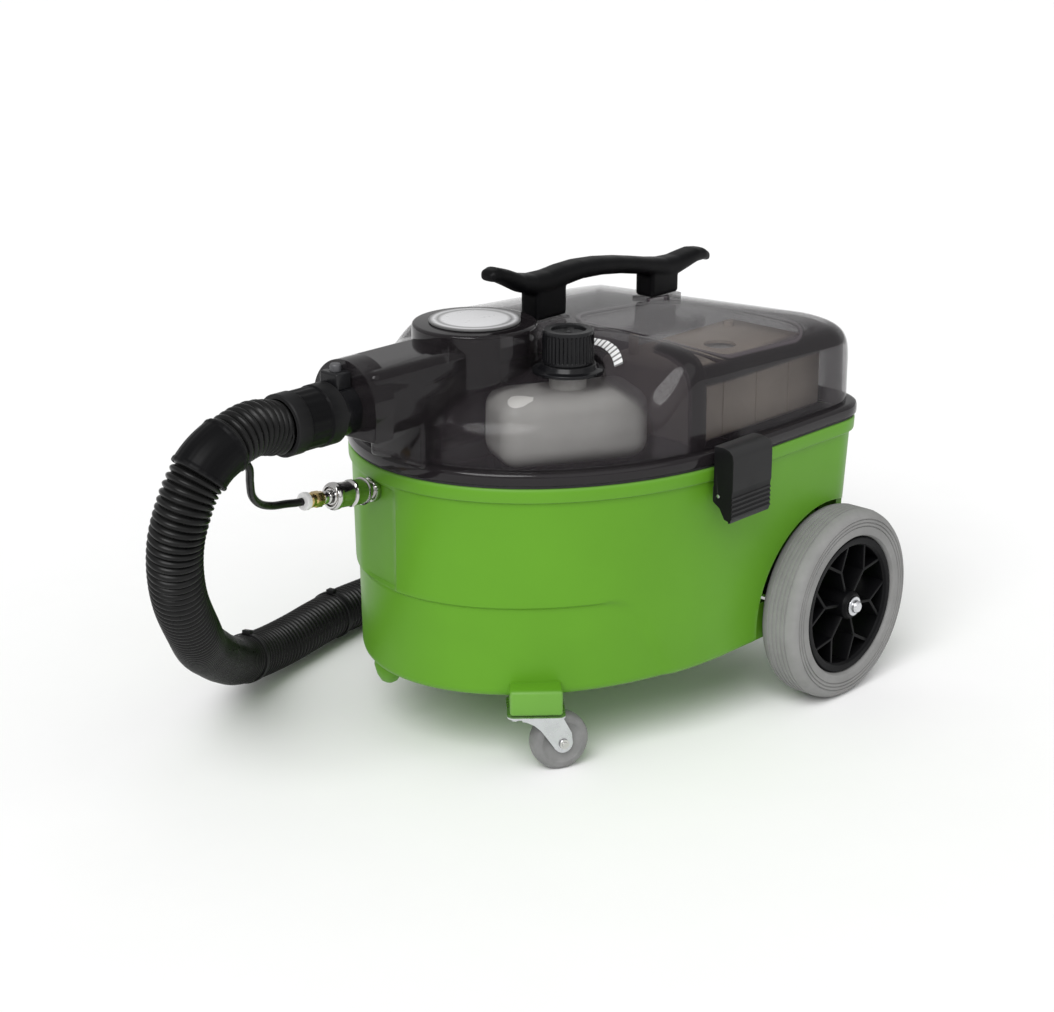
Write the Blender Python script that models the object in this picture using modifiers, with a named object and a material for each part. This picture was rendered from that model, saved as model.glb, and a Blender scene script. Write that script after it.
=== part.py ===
"""Spray-extraction carpet cleaner: wheeled tub, smoked lid, suction hose and solution hose.

Metres, +Z up.  -X is the front, where the hose plugs in; +X is the rear, where the big wheels are.
Local x is measured from the rear axle, y from the middle plane and z from the floor.  A root empty
shifts everything so that the world origin lies under the middle of the machine's box.
"""
import math

import bmesh
import bpy
from mathutils import Matrix, Quaternion, Vector

# ---------------------------------------------------------------- driving dimensions
GAP = 0.0003                    # between pieces that touch
WALL = 0.003                    # moulded shells

WHEEL_RADIUS = 0.100
TYRE_WIDTH = 0.045
TYRE_DEPTH = 0.0275             # tread to rim
TRACK_OUTER = 0.235             # middle plane to a tyre's outer face
AXLE_RADIUS = 0.006
AXLE_CLEARANCE = 0.00005
ARCH_CLEARANCE = 0.004

TUB_HALF_WIDTH = 0.2065         # at the rim band
TUB_FRONT_REACH = 0.2665        # nose ellipse, from its centre to the front
TUB_NOSE_X = -0.150             # centre of the nose ellipse
TUB_REAR_X = 0.0605
TUB_CORNER = 0.045
TUB_BOTTOM_Z = 0.077
TUB_TOP_Z = 0.288
TUB_DRAFT = 0.0165              # how much narrower the bottom is, each side
BAND_HEIGHT = 0.0145
BAND_STEP = 0.003
PAN_TOP_Z = 0.165               # step line round the lower front
PAN_STEP = 0.003

SEAL_HEIGHT = 0.0024
LID_SKIRT_HEIGHT = 0.0125
LID_SKIRT_WIDTH = 0.008
LID_SHOULDER_Z = 0.350          # where the front of the dome turns in
LID_CROWN_Z = 0.400
LID_BLOCK_X = -0.212            # the boxy rear half of the lid starts here
LID_SLOPE = 0.085               # the roof falls this much per metre towards the rear
LID_LIFT = 0.090

TURRET_X = -0.310
TURRET_RADIUS = 0.060
TURRET_TOP_Z = 0.4165
LABEL_RADIUS = 0.044
LABEL_THICKNESS = 0.0022
INLET_Z = 0.367
DUCT_HALF_WIDTH = 0.036
DUCT_TOP_Z = 0.404
COLLAR_FRONT_X = -0.480
COLLAR_LENGTH = 0.025
COLLAR_HALF_WIDTH = 0.041
SPIGOT_RADIUS = 0.0243
SPIGOT_FRONT_X = -0.530
SPIGOT_BACK_X = -0.400

CUFF_RADIUS = 0.029
CUFF_LENGTH = 0.059
HOSE_RADIUS = 0.025
CUFF_BORE_CLEARANCE = 0.0003
END_CUFF_LENGTH = 0.085
SOLUTION_HOSE_RADIUS = 0.00375

HANDLE_FRONT_X = -0.295
HANDLE_REAR_X = 0.040
HANDLE_FRONT_Z = 0.461
HANDLE_REAR_Z = 0.423
HANDLE_WIDTH = 0.026
HANDLE_POST = 0.057
HANDLE_POSTS_X = (-0.2125, -0.039)

CAP_X = -0.277
CAP_Y = -0.090
CAP_RADIUS = 0.0245
CAP_BOTTOM_Z = 0.3868
CAP_HEIGHT = 0.0315
NECK_RADIUS = 0.018
FILLER_RADIUS = 0.034
FILLER_Z = 0.377

LATCH_X = -0.172
LATCH_WIDTH = 0.060
LATCH_FACE_Y = 0.230
LATCH_REACH_Y = TUB_HALF_WIDTH + 0.0018   # just clear of the lid's skirt
LATCH_PIVOT_Y = 0.2135
LATCH_PIVOT_Z = 0.2625

CASTER_WHEEL_RADIUS = 0.029
CASTER_WHEEL_WIDTH = 0.022
CASTER_TRAIL = 0.024
CASTER_HEADING = -25.0          # degrees the trailing direction turns from +X
CASTER_PLATE_Z = 0.064
CASTER_PLATE = 0.056
CASTERS = {"near": (-0.352, -0.118), "far": (-0.240, 0.118)}

COUPLER_X = -0.4045
COUPLER_Y = 0.045
COUPLER_Z = 0.261
COUPLER_TILT = 6.0              # degrees above level
COUPLER_BODY = 0.056
COUPLER_BODY_RADIUS = 0.0093
SLEEVE_RADIUS = 0.0122
SLEEVE_START = 0.013
PLUG_LENGTH = 0.011
PLUG_RADIUS = 0.0065
NUT_LENGTH = 0.017
NUT_RADIUS = 0.0082
FERRULE_LENGTH = 0.006

SIDES = {"near": -1, "far": 1}
HALF_LENGTH = 0.3295        # half of the machine from hose cuff to tyre, with the hoses left out
ROOT_X = HALF_LENGTH - WHEEL_RADIUS

# The suction hose: out of its cuff, round and down to the floor, along the machine's far side and
# into one loop behind it.
HOSE_ROUTE = [
    (-0.5593, 0.000, 0.367), (-0.592, -0.004, 0.373), (-0.619, -0.006, 0.368),
    (-0.643, -0.005, 0.356), (-0.660, -0.003, 0.337), (-0.670, 0.000, 0.314),
    (-0.674, 0.006, 0.287), (-0.670, 0.014, 0.256), (-0.654, 0.029, 0.220),
    (-0.619, 0.058, 0.175), (-0.580, 0.097, 0.138), (-0.535, 0.138, 0.105),
    (-0.488, 0.180, 0.073), (-0.440, 0.216, 0.046), (-0.382, 0.241, 0.032),
    (-0.332, 0.254, 0.0292), (-0.281, 0.267, 0.0292), (-0.234, 0.277, 0.0280),
    (-0.160, 0.285, 0.0254), (-0.070, 0.287, 0.0254), (0.020, 0.282, 0.0254),
    (0.105, 0.262, 0.0254),
]
FLOOR_RUN_X = -0.180            # past here the hose bends gently and needs fewer points
LOOP_CENTRE = (0.262, 0.395)
LOOP_RADIUS = 0.195
LOOP_START = -118.0             # degrees
LOOP_END = 90.0                 # the free end points along -X
LOOP_STEP = 23.0
LOOP_STRAIGHT = 0.045

SOLUTION_ROUTE = [
    (-0.515, 0.0445, 0.2735), (-0.535, 0.041, 0.2775), (-0.555, 0.034, 0.286),
    (-0.572, 0.024, 0.300), (-0.583, 0.013, 0.318), (-0.5905, 0.004, 0.3335),
]


# ---------------------------------------------------------------- scene and materials
def clear_scene():
    for old in list(bpy.data.objects):
        bpy.data.objects.remove(old, do_unlink=True)


def make_collection(name):
    collection = bpy.data.collections.new(name)
    bpy.context.scene.collection.children.link(collection)
    return collection


clear_scene()
PARTS = make_collection("carpet_cleaner")
CUTTERS = make_collection("cutters")
ROOT = bpy.data.objects.new("machine_root", None)
ROOT.location = (ROOT_X, 0, 0)
PARTS.objects.link(ROOT)

GREEN = ((0.16, 0.40, 0.06), 0.38, 0.0)
SMOKE = ((0.10, 0.09, 0.09), 0.12, 0.0)
BLACK = ((0.015, 0.015, 0.016), 0.40, 0.0)
RUBBER = ((0.02, 0.02, 0.02), 0.75, 0.0)
TYRE = ((0.28, 0.28, 0.28), 0.80, 0.0)
STEEL = ((0.62, 0.62, 0.63), 0.30, 1.0)
CHROME = ((0.75, 0.75, 0.76), 0.12, 1.0)
BRASS = ((0.70, 0.52, 0.20), 0.25, 1.0)
MILKY = ((0.75, 0.74, 0.70), 0.45, 0.0)
BEIGE = ((0.55, 0.50, 0.42), 0.60, 0.0)
WHITE = ((0.80, 0.80, 0.80), 0.45, 0.0)
GREY = ((0.20, 0.20, 0.21), 0.50, 0.0)


def give_material(obj, look):
    colour, roughness, metallic = look
    material = bpy.data.materials.new(obj.name)
    material.use_nodes = True
    shader = material.node_tree.nodes["Principled BSDF"]
    shader.inputs["Base Color"].default_value = (*colour, 1)
    shader.inputs["Roughness"].default_value = roughness
    shader.inputs["Metallic"].default_value = metallic
    obj.data.materials.clear()
    obj.data.materials.append(material)


def add_object(name, mesh, look=None, place=(0, 0, 0)):
    """A part when it has a look, otherwise a tool for cutting or joining."""
    obj = bpy.data.objects.new(name, mesh)
    obj.parent = ROOT
    obj.location = place
    if look is None:
        CUTTERS.objects.link(obj)
        obj.hide_render = True
        obj.display_type = "WIRE"
    else:
        PARTS.objects.link(obj)
        give_material(obj, look)
    return obj


# ---------------------------------------------------------------- modelling tools
def mesh_from(bm, name):
    mesh = bpy.data.meshes.new(name)
    bm.to_mesh(mesh)
    bm.free()
    return mesh


def box(name, low, high, look=None, bevel=0.0, segments=2):
    """An upright box between two corners, with rounded edges if bevel is given."""
    bm = bmesh.new()
    bmesh.ops.create_cube(bm, size=1)
    size = [b - a for a, b in zip(low, high)]
    middle = [(a + b) / 2 for a, b in zip(low, high)]
    bmesh.ops.scale(bm, vec=size, verts=bm.verts)
    if bevel:
        bmesh.ops.bevel(bm, geom=bm.edges[:], offset=bevel, segments=segments, affect="EDGES", profile=0.5)
    return add_object(name, mesh_from(bm, name), look, middle)


def cylinder(name, radius, length, place, axis="Z", look=None, sides=24):
    """A cylinder centred on place, along a world axis."""
    bm = bmesh.new()
    bmesh.ops.create_cone(bm, cap_ends=True, segments=sides, radius1=radius, radius2=radius, depth=length)
    turn = {"X": Matrix.Rotation(math.pi / 2, 3, "Y"), "Y": Matrix.Rotation(-math.pi / 2, 3, "X"),
            "Z": Matrix.Identity(3)}[axis]
    bmesh.ops.rotate(bm, matrix=turn, verts=bm.verts)
    return add_object(name, mesh_from(bm, name), look, place)


def turned(name, profile, look=None, place=(0, 0, 0), direction=(0, 0, 1), sides=24, ring=True):
    """A profile of (radius, height) turned about an axis that points along direction.

    A ring's profile is closed; a solid one starts and ends on the axis.
    """
    bm = bmesh.new()
    points = [bm.verts.new((radius, 0, height)) for radius, height in profile]
    pairs = list(zip(points, points[1:]))
    if ring:
        pairs.append((points[-1], points[0]))
    for pair in pairs:
        bm.edges.new(pair)
    obj = add_object(name, mesh_from(bm, name), look, place)
    obj.rotation_mode = "QUATERNION"
    obj.rotation_quaternion = Vector((0, 0, 1)).rotation_difference(Vector(direction))
    screw = obj.modifiers.new("turn", "SCREW")
    screw.axis = "Z"
    screw.steps = sides
    screw.render_steps = sides
    screw.use_merge_vertices = True
    screw.merge_threshold = 0.00001
    screw.use_smooth_shade = True
    return obj


def prism(name, outline, thickness, look=None, place=(0, 0, 0), plane="XZ", bevel=0.0):
    """A flat outline, given in the named plane, extruded by thickness about that plane."""
    curve = bpy.data.curves.new(name, "CURVE")
    curve.dimensions = "2D"
    curve.fill_mode = "BOTH"
    curve.extrude = thickness / 2
    spline = curve.splines.new("POLY")
    spline.points.add(len(outline) - 1)
    for point, (a, b) in zip(spline.points, outline):
        point.co = (a, b, 0, 1)
    spline.use_cyclic_u = True
    guide = bpy.data.objects.new(name + "_outline", curve)
    CUTTERS.objects.link(guide)
    bpy.context.view_layer.update()
    mesh = solid_mesh(guide)
    bpy.data.objects.remove(guide, do_unlink=True)
    turn = {"XZ": Matrix.Rotation(math.pi / 2, 4, "X"), "XY": Matrix.Identity(4),
            "YZ": Matrix(((0, 0, 1, 0), (1, 0, 0, 0), (0, 1, 0, 0), (0, 0, 0, 1)))}[plane]
    mesh.transform(turn)
    obj = add_object(name, mesh, look, place)
    if bevel:
        rounded = obj.modifiers.new("edges", "BEVEL")
        rounded.width = bevel
        rounded.segments = 2
        rounded.limit_method = "ANGLE"
        rounded.angle_limit = math.radians(50)
    return obj


def solid_mesh(obj):
    """The evaluated shape of a curve object as a welded mesh."""
    evaluated = obj.evaluated_get(bpy.context.evaluated_depsgraph_get())
    mesh = bpy.data.meshes.new_from_object(evaluated)
    bm = bmesh.new()
    bm.from_mesh(mesh)
    bmesh.ops.remove_doubles(bm, verts=bm.verts, dist=0.00001)
    bmesh.ops.recalc_face_normals(bm, faces=bm.faces)
    bm.to_mesh(mesh)
    bm.free()
    return mesh


def tube(name, points, radius, look=None, resolution=2):
    """A round bar along a smooth row of points."""
    curve = bpy.data.curves.new(name, "CURVE")
    curve.dimensions = "3D"
    curve.bevel_depth = radius
    curve.bevel_resolution = resolution
    curve.use_fill_caps = True
    spline = curve.splines.new("POLY")
    spline.points.add(len(points) - 1)
    for point, place in zip(spline.points, points):
        point.co = (*place, 1)
    guide = bpy.data.objects.new(name + "_line", curve)
    CUTTERS.objects.link(guide)
    bpy.context.view_layer.update()
    mesh = solid_mesh(guide)
    bpy.data.objects.remove(guide, do_unlink=True)
    return add_object(name, mesh, look)


def loft(name, rings, look=None):
    """A closed solid through rings of equally many points, bottom ring first."""
    bm = bmesh.new()
    rows = [[bm.verts.new(point) for point in ring] for ring in rings]
    count = len(rows[0])
    for lower, upper in zip(rows, rows[1:]):
        for i in range(count):
            j = (i + 1) % count
            bm.faces.new((lower[i], lower[j], upper[j], upper[i]))
    bm.faces.new(list(reversed(rows[0])))
    bm.faces.new(rows[-1])
    bmesh.ops.recalc_face_normals(bm, faces=bm.faces)
    bmesh.ops.triangulate(bm, faces=[face for face in bm.faces if len(face.verts) > 4])
    return add_object(name, mesh_from(bm, name), look)


def combine(target, tool, operation):
    modifier = target.modifiers.new(tool.name, "BOOLEAN")
    modifier.operation = operation
    modifier.solver = "EXACT"
    modifier.object = tool
    return target


def cut(target, *tools):
    for tool in tools:
        combine(target, tool, "DIFFERENCE")
    return target


def join(target, *tools):
    for tool in tools:
        combine(target, tool, "UNION")
    return target


def turn_about(obj, pivot, degrees):
    """Turn an object about the vertical line through pivot."""
    swing = Matrix.Translation(Vector(pivot)) @ Matrix.Rotation(math.radians(degrees), 4, "Z")
    swing = swing @ Matrix.Translation(-Vector(pivot))
    obj.matrix_local = swing @ Matrix.LocRotScale(obj.location, obj.rotation_euler, obj.scale)
    return obj


def smooth_line(route, spacing):
    """Points at an even spacing on a Catmull-Rom curve through the route."""
    knots = [Vector(p) for p in route]
    knots = [2 * knots[0] - knots[1]] + knots + [2 * knots[-1] - knots[-2]]
    dense = []
    for a, b, c, d in zip(knots, knots[1:], knots[2:], knots[3:]):
        for step in range(24):
            t = step / 24
            dense.append(0.5 * (2 * b + (c - a) * t + (2 * a - 5 * b + 4 * c - d) * t ** 2
                                + (3 * b - a - 3 * c + d) * t ** 3))
    dense.append(knots[-2])
    lengths = [0.0]
    for a, b in zip(dense, dense[1:]):
        lengths.append(lengths[-1] + (b - a).length)
    count = max(2, round(lengths[-1] / spacing))
    line = []
    index = 0
    for step in range(count + 1):
        target = lengths[-1] * step / count
        while index < len(lengths) - 2 and lengths[index + 1] < target:
            index += 1
        share = (target - lengths[index]) / (lengths[index + 1] - lengths[index])
        line.append(dense[index].lerp(dense[index + 1], share))
    return line


# ---------------------------------------------------------------- the tub's outline
def outline(half_width, reach, rear_x, corner, z, nose=28, corner_steps=4):
    """Plan outline: half an ellipse at the front, straight sides, rounded rear corners."""
    points = []
    for step in range(nose + 1):
        angle = math.pi / 2 + math.pi * step / nose
        points.append((TUB_NOSE_X + reach * math.cos(angle), half_width * math.sin(angle), z))
    middle_x = (TUB_NOSE_X + rear_x - corner) / 2
    points.append((middle_x, -half_width, z))
    for side in (-1, 1):
        for step in range(corner_steps + 1):
            angle = (-math.pi / 2 if side < 0 else 0.0) + math.pi / 2 * step / corner_steps
            points.append((rear_x - corner + corner * math.cos(angle),
                           side * (half_width - corner) + corner * math.sin(angle), z))
    points.append((middle_x, half_width, z))
    return points


def tub_ring(z, inset=0.0, band=False, pan=False):
    """The tub's outline at a height, drafted, with its rim band or its lower front step."""
    share = (TUB_TOP_Z - z) / (TUB_TOP_Z - TUB_BOTTOM_Z)
    step = 0.0 if band else BAND_STEP
    half_width = TUB_HALF_WIDTH - step - inset - (TUB_DRAFT - BAND_STEP) * share
    front = PAN_STEP if pan else 0.0
    reach = TUB_FRONT_REACH - step - inset - front + 0.002 * share
    return outline(half_width, reach, TUB_REAR_X - step - inset, TUB_CORNER - inset, z)


def make_tub():
    band_z = TUB_TOP_Z - BAND_HEIGHT
    rings = [tub_ring(TUB_BOTTOM_Z, 0.006, pan=True), tub_ring(TUB_BOTTOM_Z + 0.006, pan=True),
             tub_ring(PAN_TOP_Z - 0.002, pan=True), tub_ring(PAN_TOP_Z), tub_ring(band_z),
             tub_ring(band_z + 0.001, band=True), tub_ring(TUB_TOP_Z, band=True)]
    tub = loft("tub", rings, GREEN)
    for name, (x, y) in CASTERS.items():
        half = CASTER_PLATE / 2 - 0.003
        top = TUB_BOTTOM_Z + 0.012
        pad = box(name + "_caster_pad", (x - half, y - half, CASTER_PLATE_Z + 0.0025 + GAP),
                  (x + half, y + half, top), bevel=0.004)
        join(tub, turn_about(pad, (x, y, 0), 45))
    toe = turned("front_toe", [(0, 0.020), (0.012, 0.020), (0.014, 0.002), (0.011, -0.008), (0.006, -0.014),
                               (0, -0.016)], place=(-0.372, 0.062, 0.062), sides=16, ring=False)
    join(tub, toe)

    inner = loft("tub_space", [tub_ring(TUB_BOTTOM_Z + WALL, WALL + PAN_STEP + 0.003, pan=True),
                               tub_ring(TUB_BOTTOM_Z + WALL + 0.006, WALL + 0.001, pan=True),
                               tub_ring(PAN_TOP_Z - 0.002, WALL, pan=True), tub_ring(PAN_TOP_Z + 0.002, WALL),
                               tub_ring(TUB_TOP_Z + 0.004, WALL)])
    tyre_inner = TRACK_OUTER - TYRE_WIDTH
    arch_radius = WHEEL_RADIUS + ARCH_CLEARANCE
    for name, side in SIDES.items():
        depth = 0.060
        middle = side * (tyre_inner - ARCH_CLEARANCE + depth / 2)
        arch = cylinder(name + "_wheel_arch", arch_radius, depth, (0, middle, WHEEL_RADIUS), "Y", sides=40)
        cut(tub, arch)
        keep = cylinder(name + "_arch_wall", arch_radius + WALL, depth,
                        (0, middle - side * WALL, WHEEL_RADIUS), "Y", sides=40)
        cut(inner, keep)
    channel_top = WHEEL_RADIUS + AXLE_RADIUS + GAP
    half = AXLE_RADIUS + GAP
    channel = box("axle_channel", (-half, -0.3, TUB_BOTTOM_Z - 0.01), (half, 0.3, channel_top))
    channel_wall = box("axle_channel_wall", (-half - WALL, -0.3, TUB_BOTTOM_Z - 0.01),
                       (half + WALL, 0.3, channel_top + WALL))
    cut(inner, channel_wall)
    panel = box("coupling_panel", (-0.06, -0.034, -0.056), (0.0, 0.034, 0.056), bevel=0.002)
    panel.location = (-0.4310, COUPLER_Y, 0.222)
    panel.rotation_euler = (0, 0, math.radians(-14))
    cut(tub, inner, channel, panel)
    hole = turned("coupler_hole", [(0, 0.05), (COUPLER_BODY_RADIUS + GAP, 0.05),
                                   (COUPLER_BODY_RADIUS + GAP, -0.05), (0, -0.05)],
                  place=(COUPLER_X, COUPLER_Y, COUPLER_Z), direction=COUPLER_AXIS, sides=16, ring=False)
    cut(tub, hole)
    gland_hole = cylinder("gland_hole", GLAND_SHANK + GAP, 0.04, (TUB_REAR_X - BAND_STEP, 0, GLAND_Z), "X")
    cut(tub, gland_hole)
    for row in range(3):
        for column in range(5):
            y = (column - 2) * 0.018
            z = EXHAUST_Z + (row - 1) * 0.014
            port = cylinder(f"exhaust_port_{row}_{column}", 0.005, 0.02, (TUB_REAR_X - BAND_STEP, y, z), "X",
                            sides=8)
            cut(tub, port)
    return tub


COUPLER_AXIS = (-math.cos(math.radians(COUPLER_TILT)), 0, math.sin(math.radians(COUPLER_TILT)))
GLAND_SHANK = 0.008
GLAND_Z = 0.150
EXHAUST_Z = 0.112
PANEL_Z = (0.178, 0.262)
PANEL_HALF_WIDTH = 0.060
ROCKER_TILT = 8.0               # degrees each way from level


def make_seal():
    low = TUB_TOP_Z + GAP
    outer = loft("lid_seal", [outline(TUB_HALF_WIDTH - 0.0015, TUB_FRONT_REACH - 0.0015, TUB_REAR_X - 0.0015,
                                      TUB_CORNER - 0.0015, z) for z in (low, low + SEAL_HEIGHT)], RUBBER)
    inner = loft("seal_space", [outline(TUB_HALF_WIDTH - 0.006, TUB_FRONT_REACH - 0.006, TUB_REAR_X - 0.006,
                                        TUB_CORNER - 0.006, z) for z in (low - 0.01, low + 0.01)])
    return cut(outer, inner)


# ---------------------------------------------------------------- inside the tub
MOTOR_X = -0.030
MOTOR_RADIUS = 0.064
TANK_REAR_X = MOTOR_X - MOTOR_RADIUS - 0.010


def make_tanks():
    """The clean-water tank low in the tub and the waste-water tank that hangs above it."""
    for name, low, high, rear, inset in (("solution_tank", TUB_BOTTOM_Z + WALL + GAP, 0.1500, TANK_REAR_X, 0.010),
                                         ("recovery_tank", 0.1500 + GAP, 0.2840, TANK_REAR_X, 0.020)):
        def section(z, extra):
            share = (TUB_TOP_Z - z) / (TUB_TOP_Z - TUB_BOTTOM_Z)
            narrow = inset + extra + TUB_DRAFT * share + BAND_STEP + PAN_STEP
            return outline(TUB_HALF_WIDTH - narrow, TUB_FRONT_REACH - narrow, rear - extra, 0.020, z, nose=20)
        body = loft(name, [section(low, 0.0), section(high, 0.0)], MILKY)
        space = loft(name + "_space", [section(low + WALL, WALL), section(high + 0.01, WALL)])
        cut(body, space)


def make_motor_group():
    channel_top = WHEEL_RADIUS + AXLE_RADIUS + GAP + WALL
    deck = channel_top + GAP + WALL
    front, rear = TANK_REAR_X + 0.003, MOTOR_X + MOTOR_RADIUS + 0.008
    floor = TUB_BOTTOM_Z + WALL + GAP
    bridge = box("motor_deck", (front, -0.155, floor), (rear, 0.155, deck), STEEL)
    under = box("under_deck", (front + WALL, -0.2, floor - 0.01), (rear - WALL, 0.2, deck - WALL))
    cut(bridge, under)
    deck += GAP
    seal = MOTOR_RADIUS - 0.004
    turned("motor_seal", [(seal - 0.017, 0.006), (seal, 0.006), (seal, 0), (seal - 0.017, 0)], RUBBER,
           (MOTOR_X, 0, deck))
    turned("vacuum_motor", [(0, 0.118), (0.030, 0.118), (0.034, 0.104), (0.050, 0.100), (0.052, 0.040),
                            (MOTOR_RADIUS, 0.036), (MOTOR_RADIUS, 0.0), (0, 0.0)], STEEL,
           (MOTOR_X, 0, deck + 0.006 + GAP), ring=False)
    pump = box("pump", (-0.090, 0.092, deck), (0.000, 0.150, deck + 0.055), GREY, bevel=0.004)
    head = cylinder("pump_head", 0.020, 0.050, (-0.050, 0.120, deck + 0.065), "Z", sides=16)
    join(pump, head)
    turned("suction_filter", [(0, 0.040), (0.010, 0.040), (0.012, 0.030), (0.012, 0.0), (0, 0.0)], WHITE,
           (TANK_REAR_X - 0.035, 0.130, TUB_BOTTOM_Z + 2 * (WALL + GAP)), sides=12, ring=False)
    head_top = deck + 0.090 + GAP
    pressure = [(-0.050, 0.120, head_top), (-0.052, 0.124, head_top + 0.024), (-0.085, 0.165, 0.250),
                (-0.150, 0.1895, 0.260)]
    for angle in (68, 46, 30, 18):
        turn = math.radians(angle)
        pressure.append((TUB_NOSE_X - 0.2505 * math.cos(turn), 0.1895 * math.sin(turn), 0.260))
    tube("pressure_tube", smooth_line(pressure, 0.02), 0.003, BLACK, 2)


def make_rear_fittings(tub):
    face = TUB_REAR_X - BAND_STEP + GAP
    panel = box("control_panel", (face, -PANEL_HALF_WIDTH, PANEL_Z[0]),
                (face + 0.003, PANEL_HALF_WIDTH, PANEL_Z[1]), BLACK, bevel=0.0008, segments=1)
    middle = sum(PANEL_Z) / 2
    for name, y in (("vacuum_switch", -0.025), ("pump_switch", 0.025)):
        hole = box(name + "_hole", (face - 0.01, y - 0.0115, middle - 0.0155),
                   (face + 0.01, y + 0.0115, middle + 0.0155))
        cut(panel, hole)
        cut(tub, hole)
        rocker = prism(name, [(-0.0005, -0.0150), (0.0035, -0.0150), (0.0055, -0.0135), (0.0036, 0.0),
                              (0.0055, 0.0135), (0.0035, 0.0150), (-0.0005, 0.0150)], 0.0220, BLACK)
        rocker.location = (face + 0.0010, y, middle)
        rocker.rotation_euler = (0, math.radians(ROCKER_TILT), 0)
    turned("cord_inlet", [(0.0035, 0.024), (0.0055, 0.024), (0.0095, 0.006), (0.0125, 0.005), (0.0125, 0.0),
                          (GLAND_SHANK, 0.0), (GLAND_SHANK, -0.010), (0.0035, -0.010)], BLACK,
           (face, 0, GLAND_Z), (1, 0, 0), sides=16)
    grille = box("exhaust_grille", (face, -0.050, EXHAUST_Z - 0.023), (face + 0.003, 0.050, EXHAUST_Z + 0.023),
                 BLACK, bevel=0.0008, segments=1)
    for row in range(3):
        z = EXHAUST_Z + (row - 1) * 0.014
        slot = box(f"grille_slot_{row}", (face - 0.01, -0.043, z - 0.003), (face + 0.01, 0.043, z + 0.003))
        cut(grille, slot)


# ---------------------------------------------------------------- wheels
def make_rear_wheels():
    cylinder("rear_axle", AXLE_RADIUS, 2 * (TRACK_OUTER + 0.001), (0, 0, WHEEL_RADIUS), "Y", STEEL, sides=20)
    rim_outer = WHEEL_RADIUS - TYRE_DEPTH - GAP
    bore = AXLE_RADIUS + AXLE_CLEARANCE
    for name, side in SIDES.items():
        middle = side * (TRACK_OUTER - TYRE_WIDTH / 2)
        half = TYRE_WIDTH / 2
        inner = WHEEL_RADIUS - TYRE_DEPTH
        turned(name + "_tyre", [(inner, half - 0.004), (inner + 0.004, half), (WHEEL_RADIUS - 0.008, half - 0.001),
                                (WHEEL_RADIUS - 0.002, half - 0.006), (WHEEL_RADIUS, half - 0.013),
                                (WHEEL_RADIUS, 0.013 - half), (WHEEL_RADIUS - 0.002, 0.006 - half),
                                (WHEEL_RADIUS - 0.008, 0.001 - half), (inner + 0.004, -half),
                                (inner, 0.004 - half)],
               TYRE, (0, middle, WHEEL_RADIUS), (0, side, 0), sides=36)
        rim = turned(name + "_rim", [(bore, half + 0.001), (0.014, half + 0.001), (0.020, 0.006), (0.062, 0.006),
                                     (0.066, half - 0.005), (rim_outer, half - 0.005), (rim_outer, 0.005 - half),
                                     (0.066, 0.005 - half), (0.062, -0.002), (0.020, -0.002), (0.014, -half),
                                     (bore, -half)],
                     BLACK, (0, middle, WHEEL_RADIUS), (0, side, 0), sides=30)
        for spoke in range(6):
            angle = math.radians(60 * spoke + 30)
            port = cylinder(f"{name}_rim_port_{spoke}", 0.014, TYRE_WIDTH,
                            (0.041 * math.cos(angle), middle, WHEEL_RADIUS + 0.041 * math.sin(angle)), "Y",
                            sides=6)
            cut(rim, port)
        turned(name + "_hub_cap", [(0, 0.007), (0.004, 0.0065), (0.0065, 0.002), (0.010, 0.0015), (0.010, 0.0),
                                   (0, 0.0)],
               CHROME, (0, side * (TRACK_OUTER + 0.001 + GAP), WHEEL_RADIUS), (0, side, 0), sides=16, ring=False)


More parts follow.
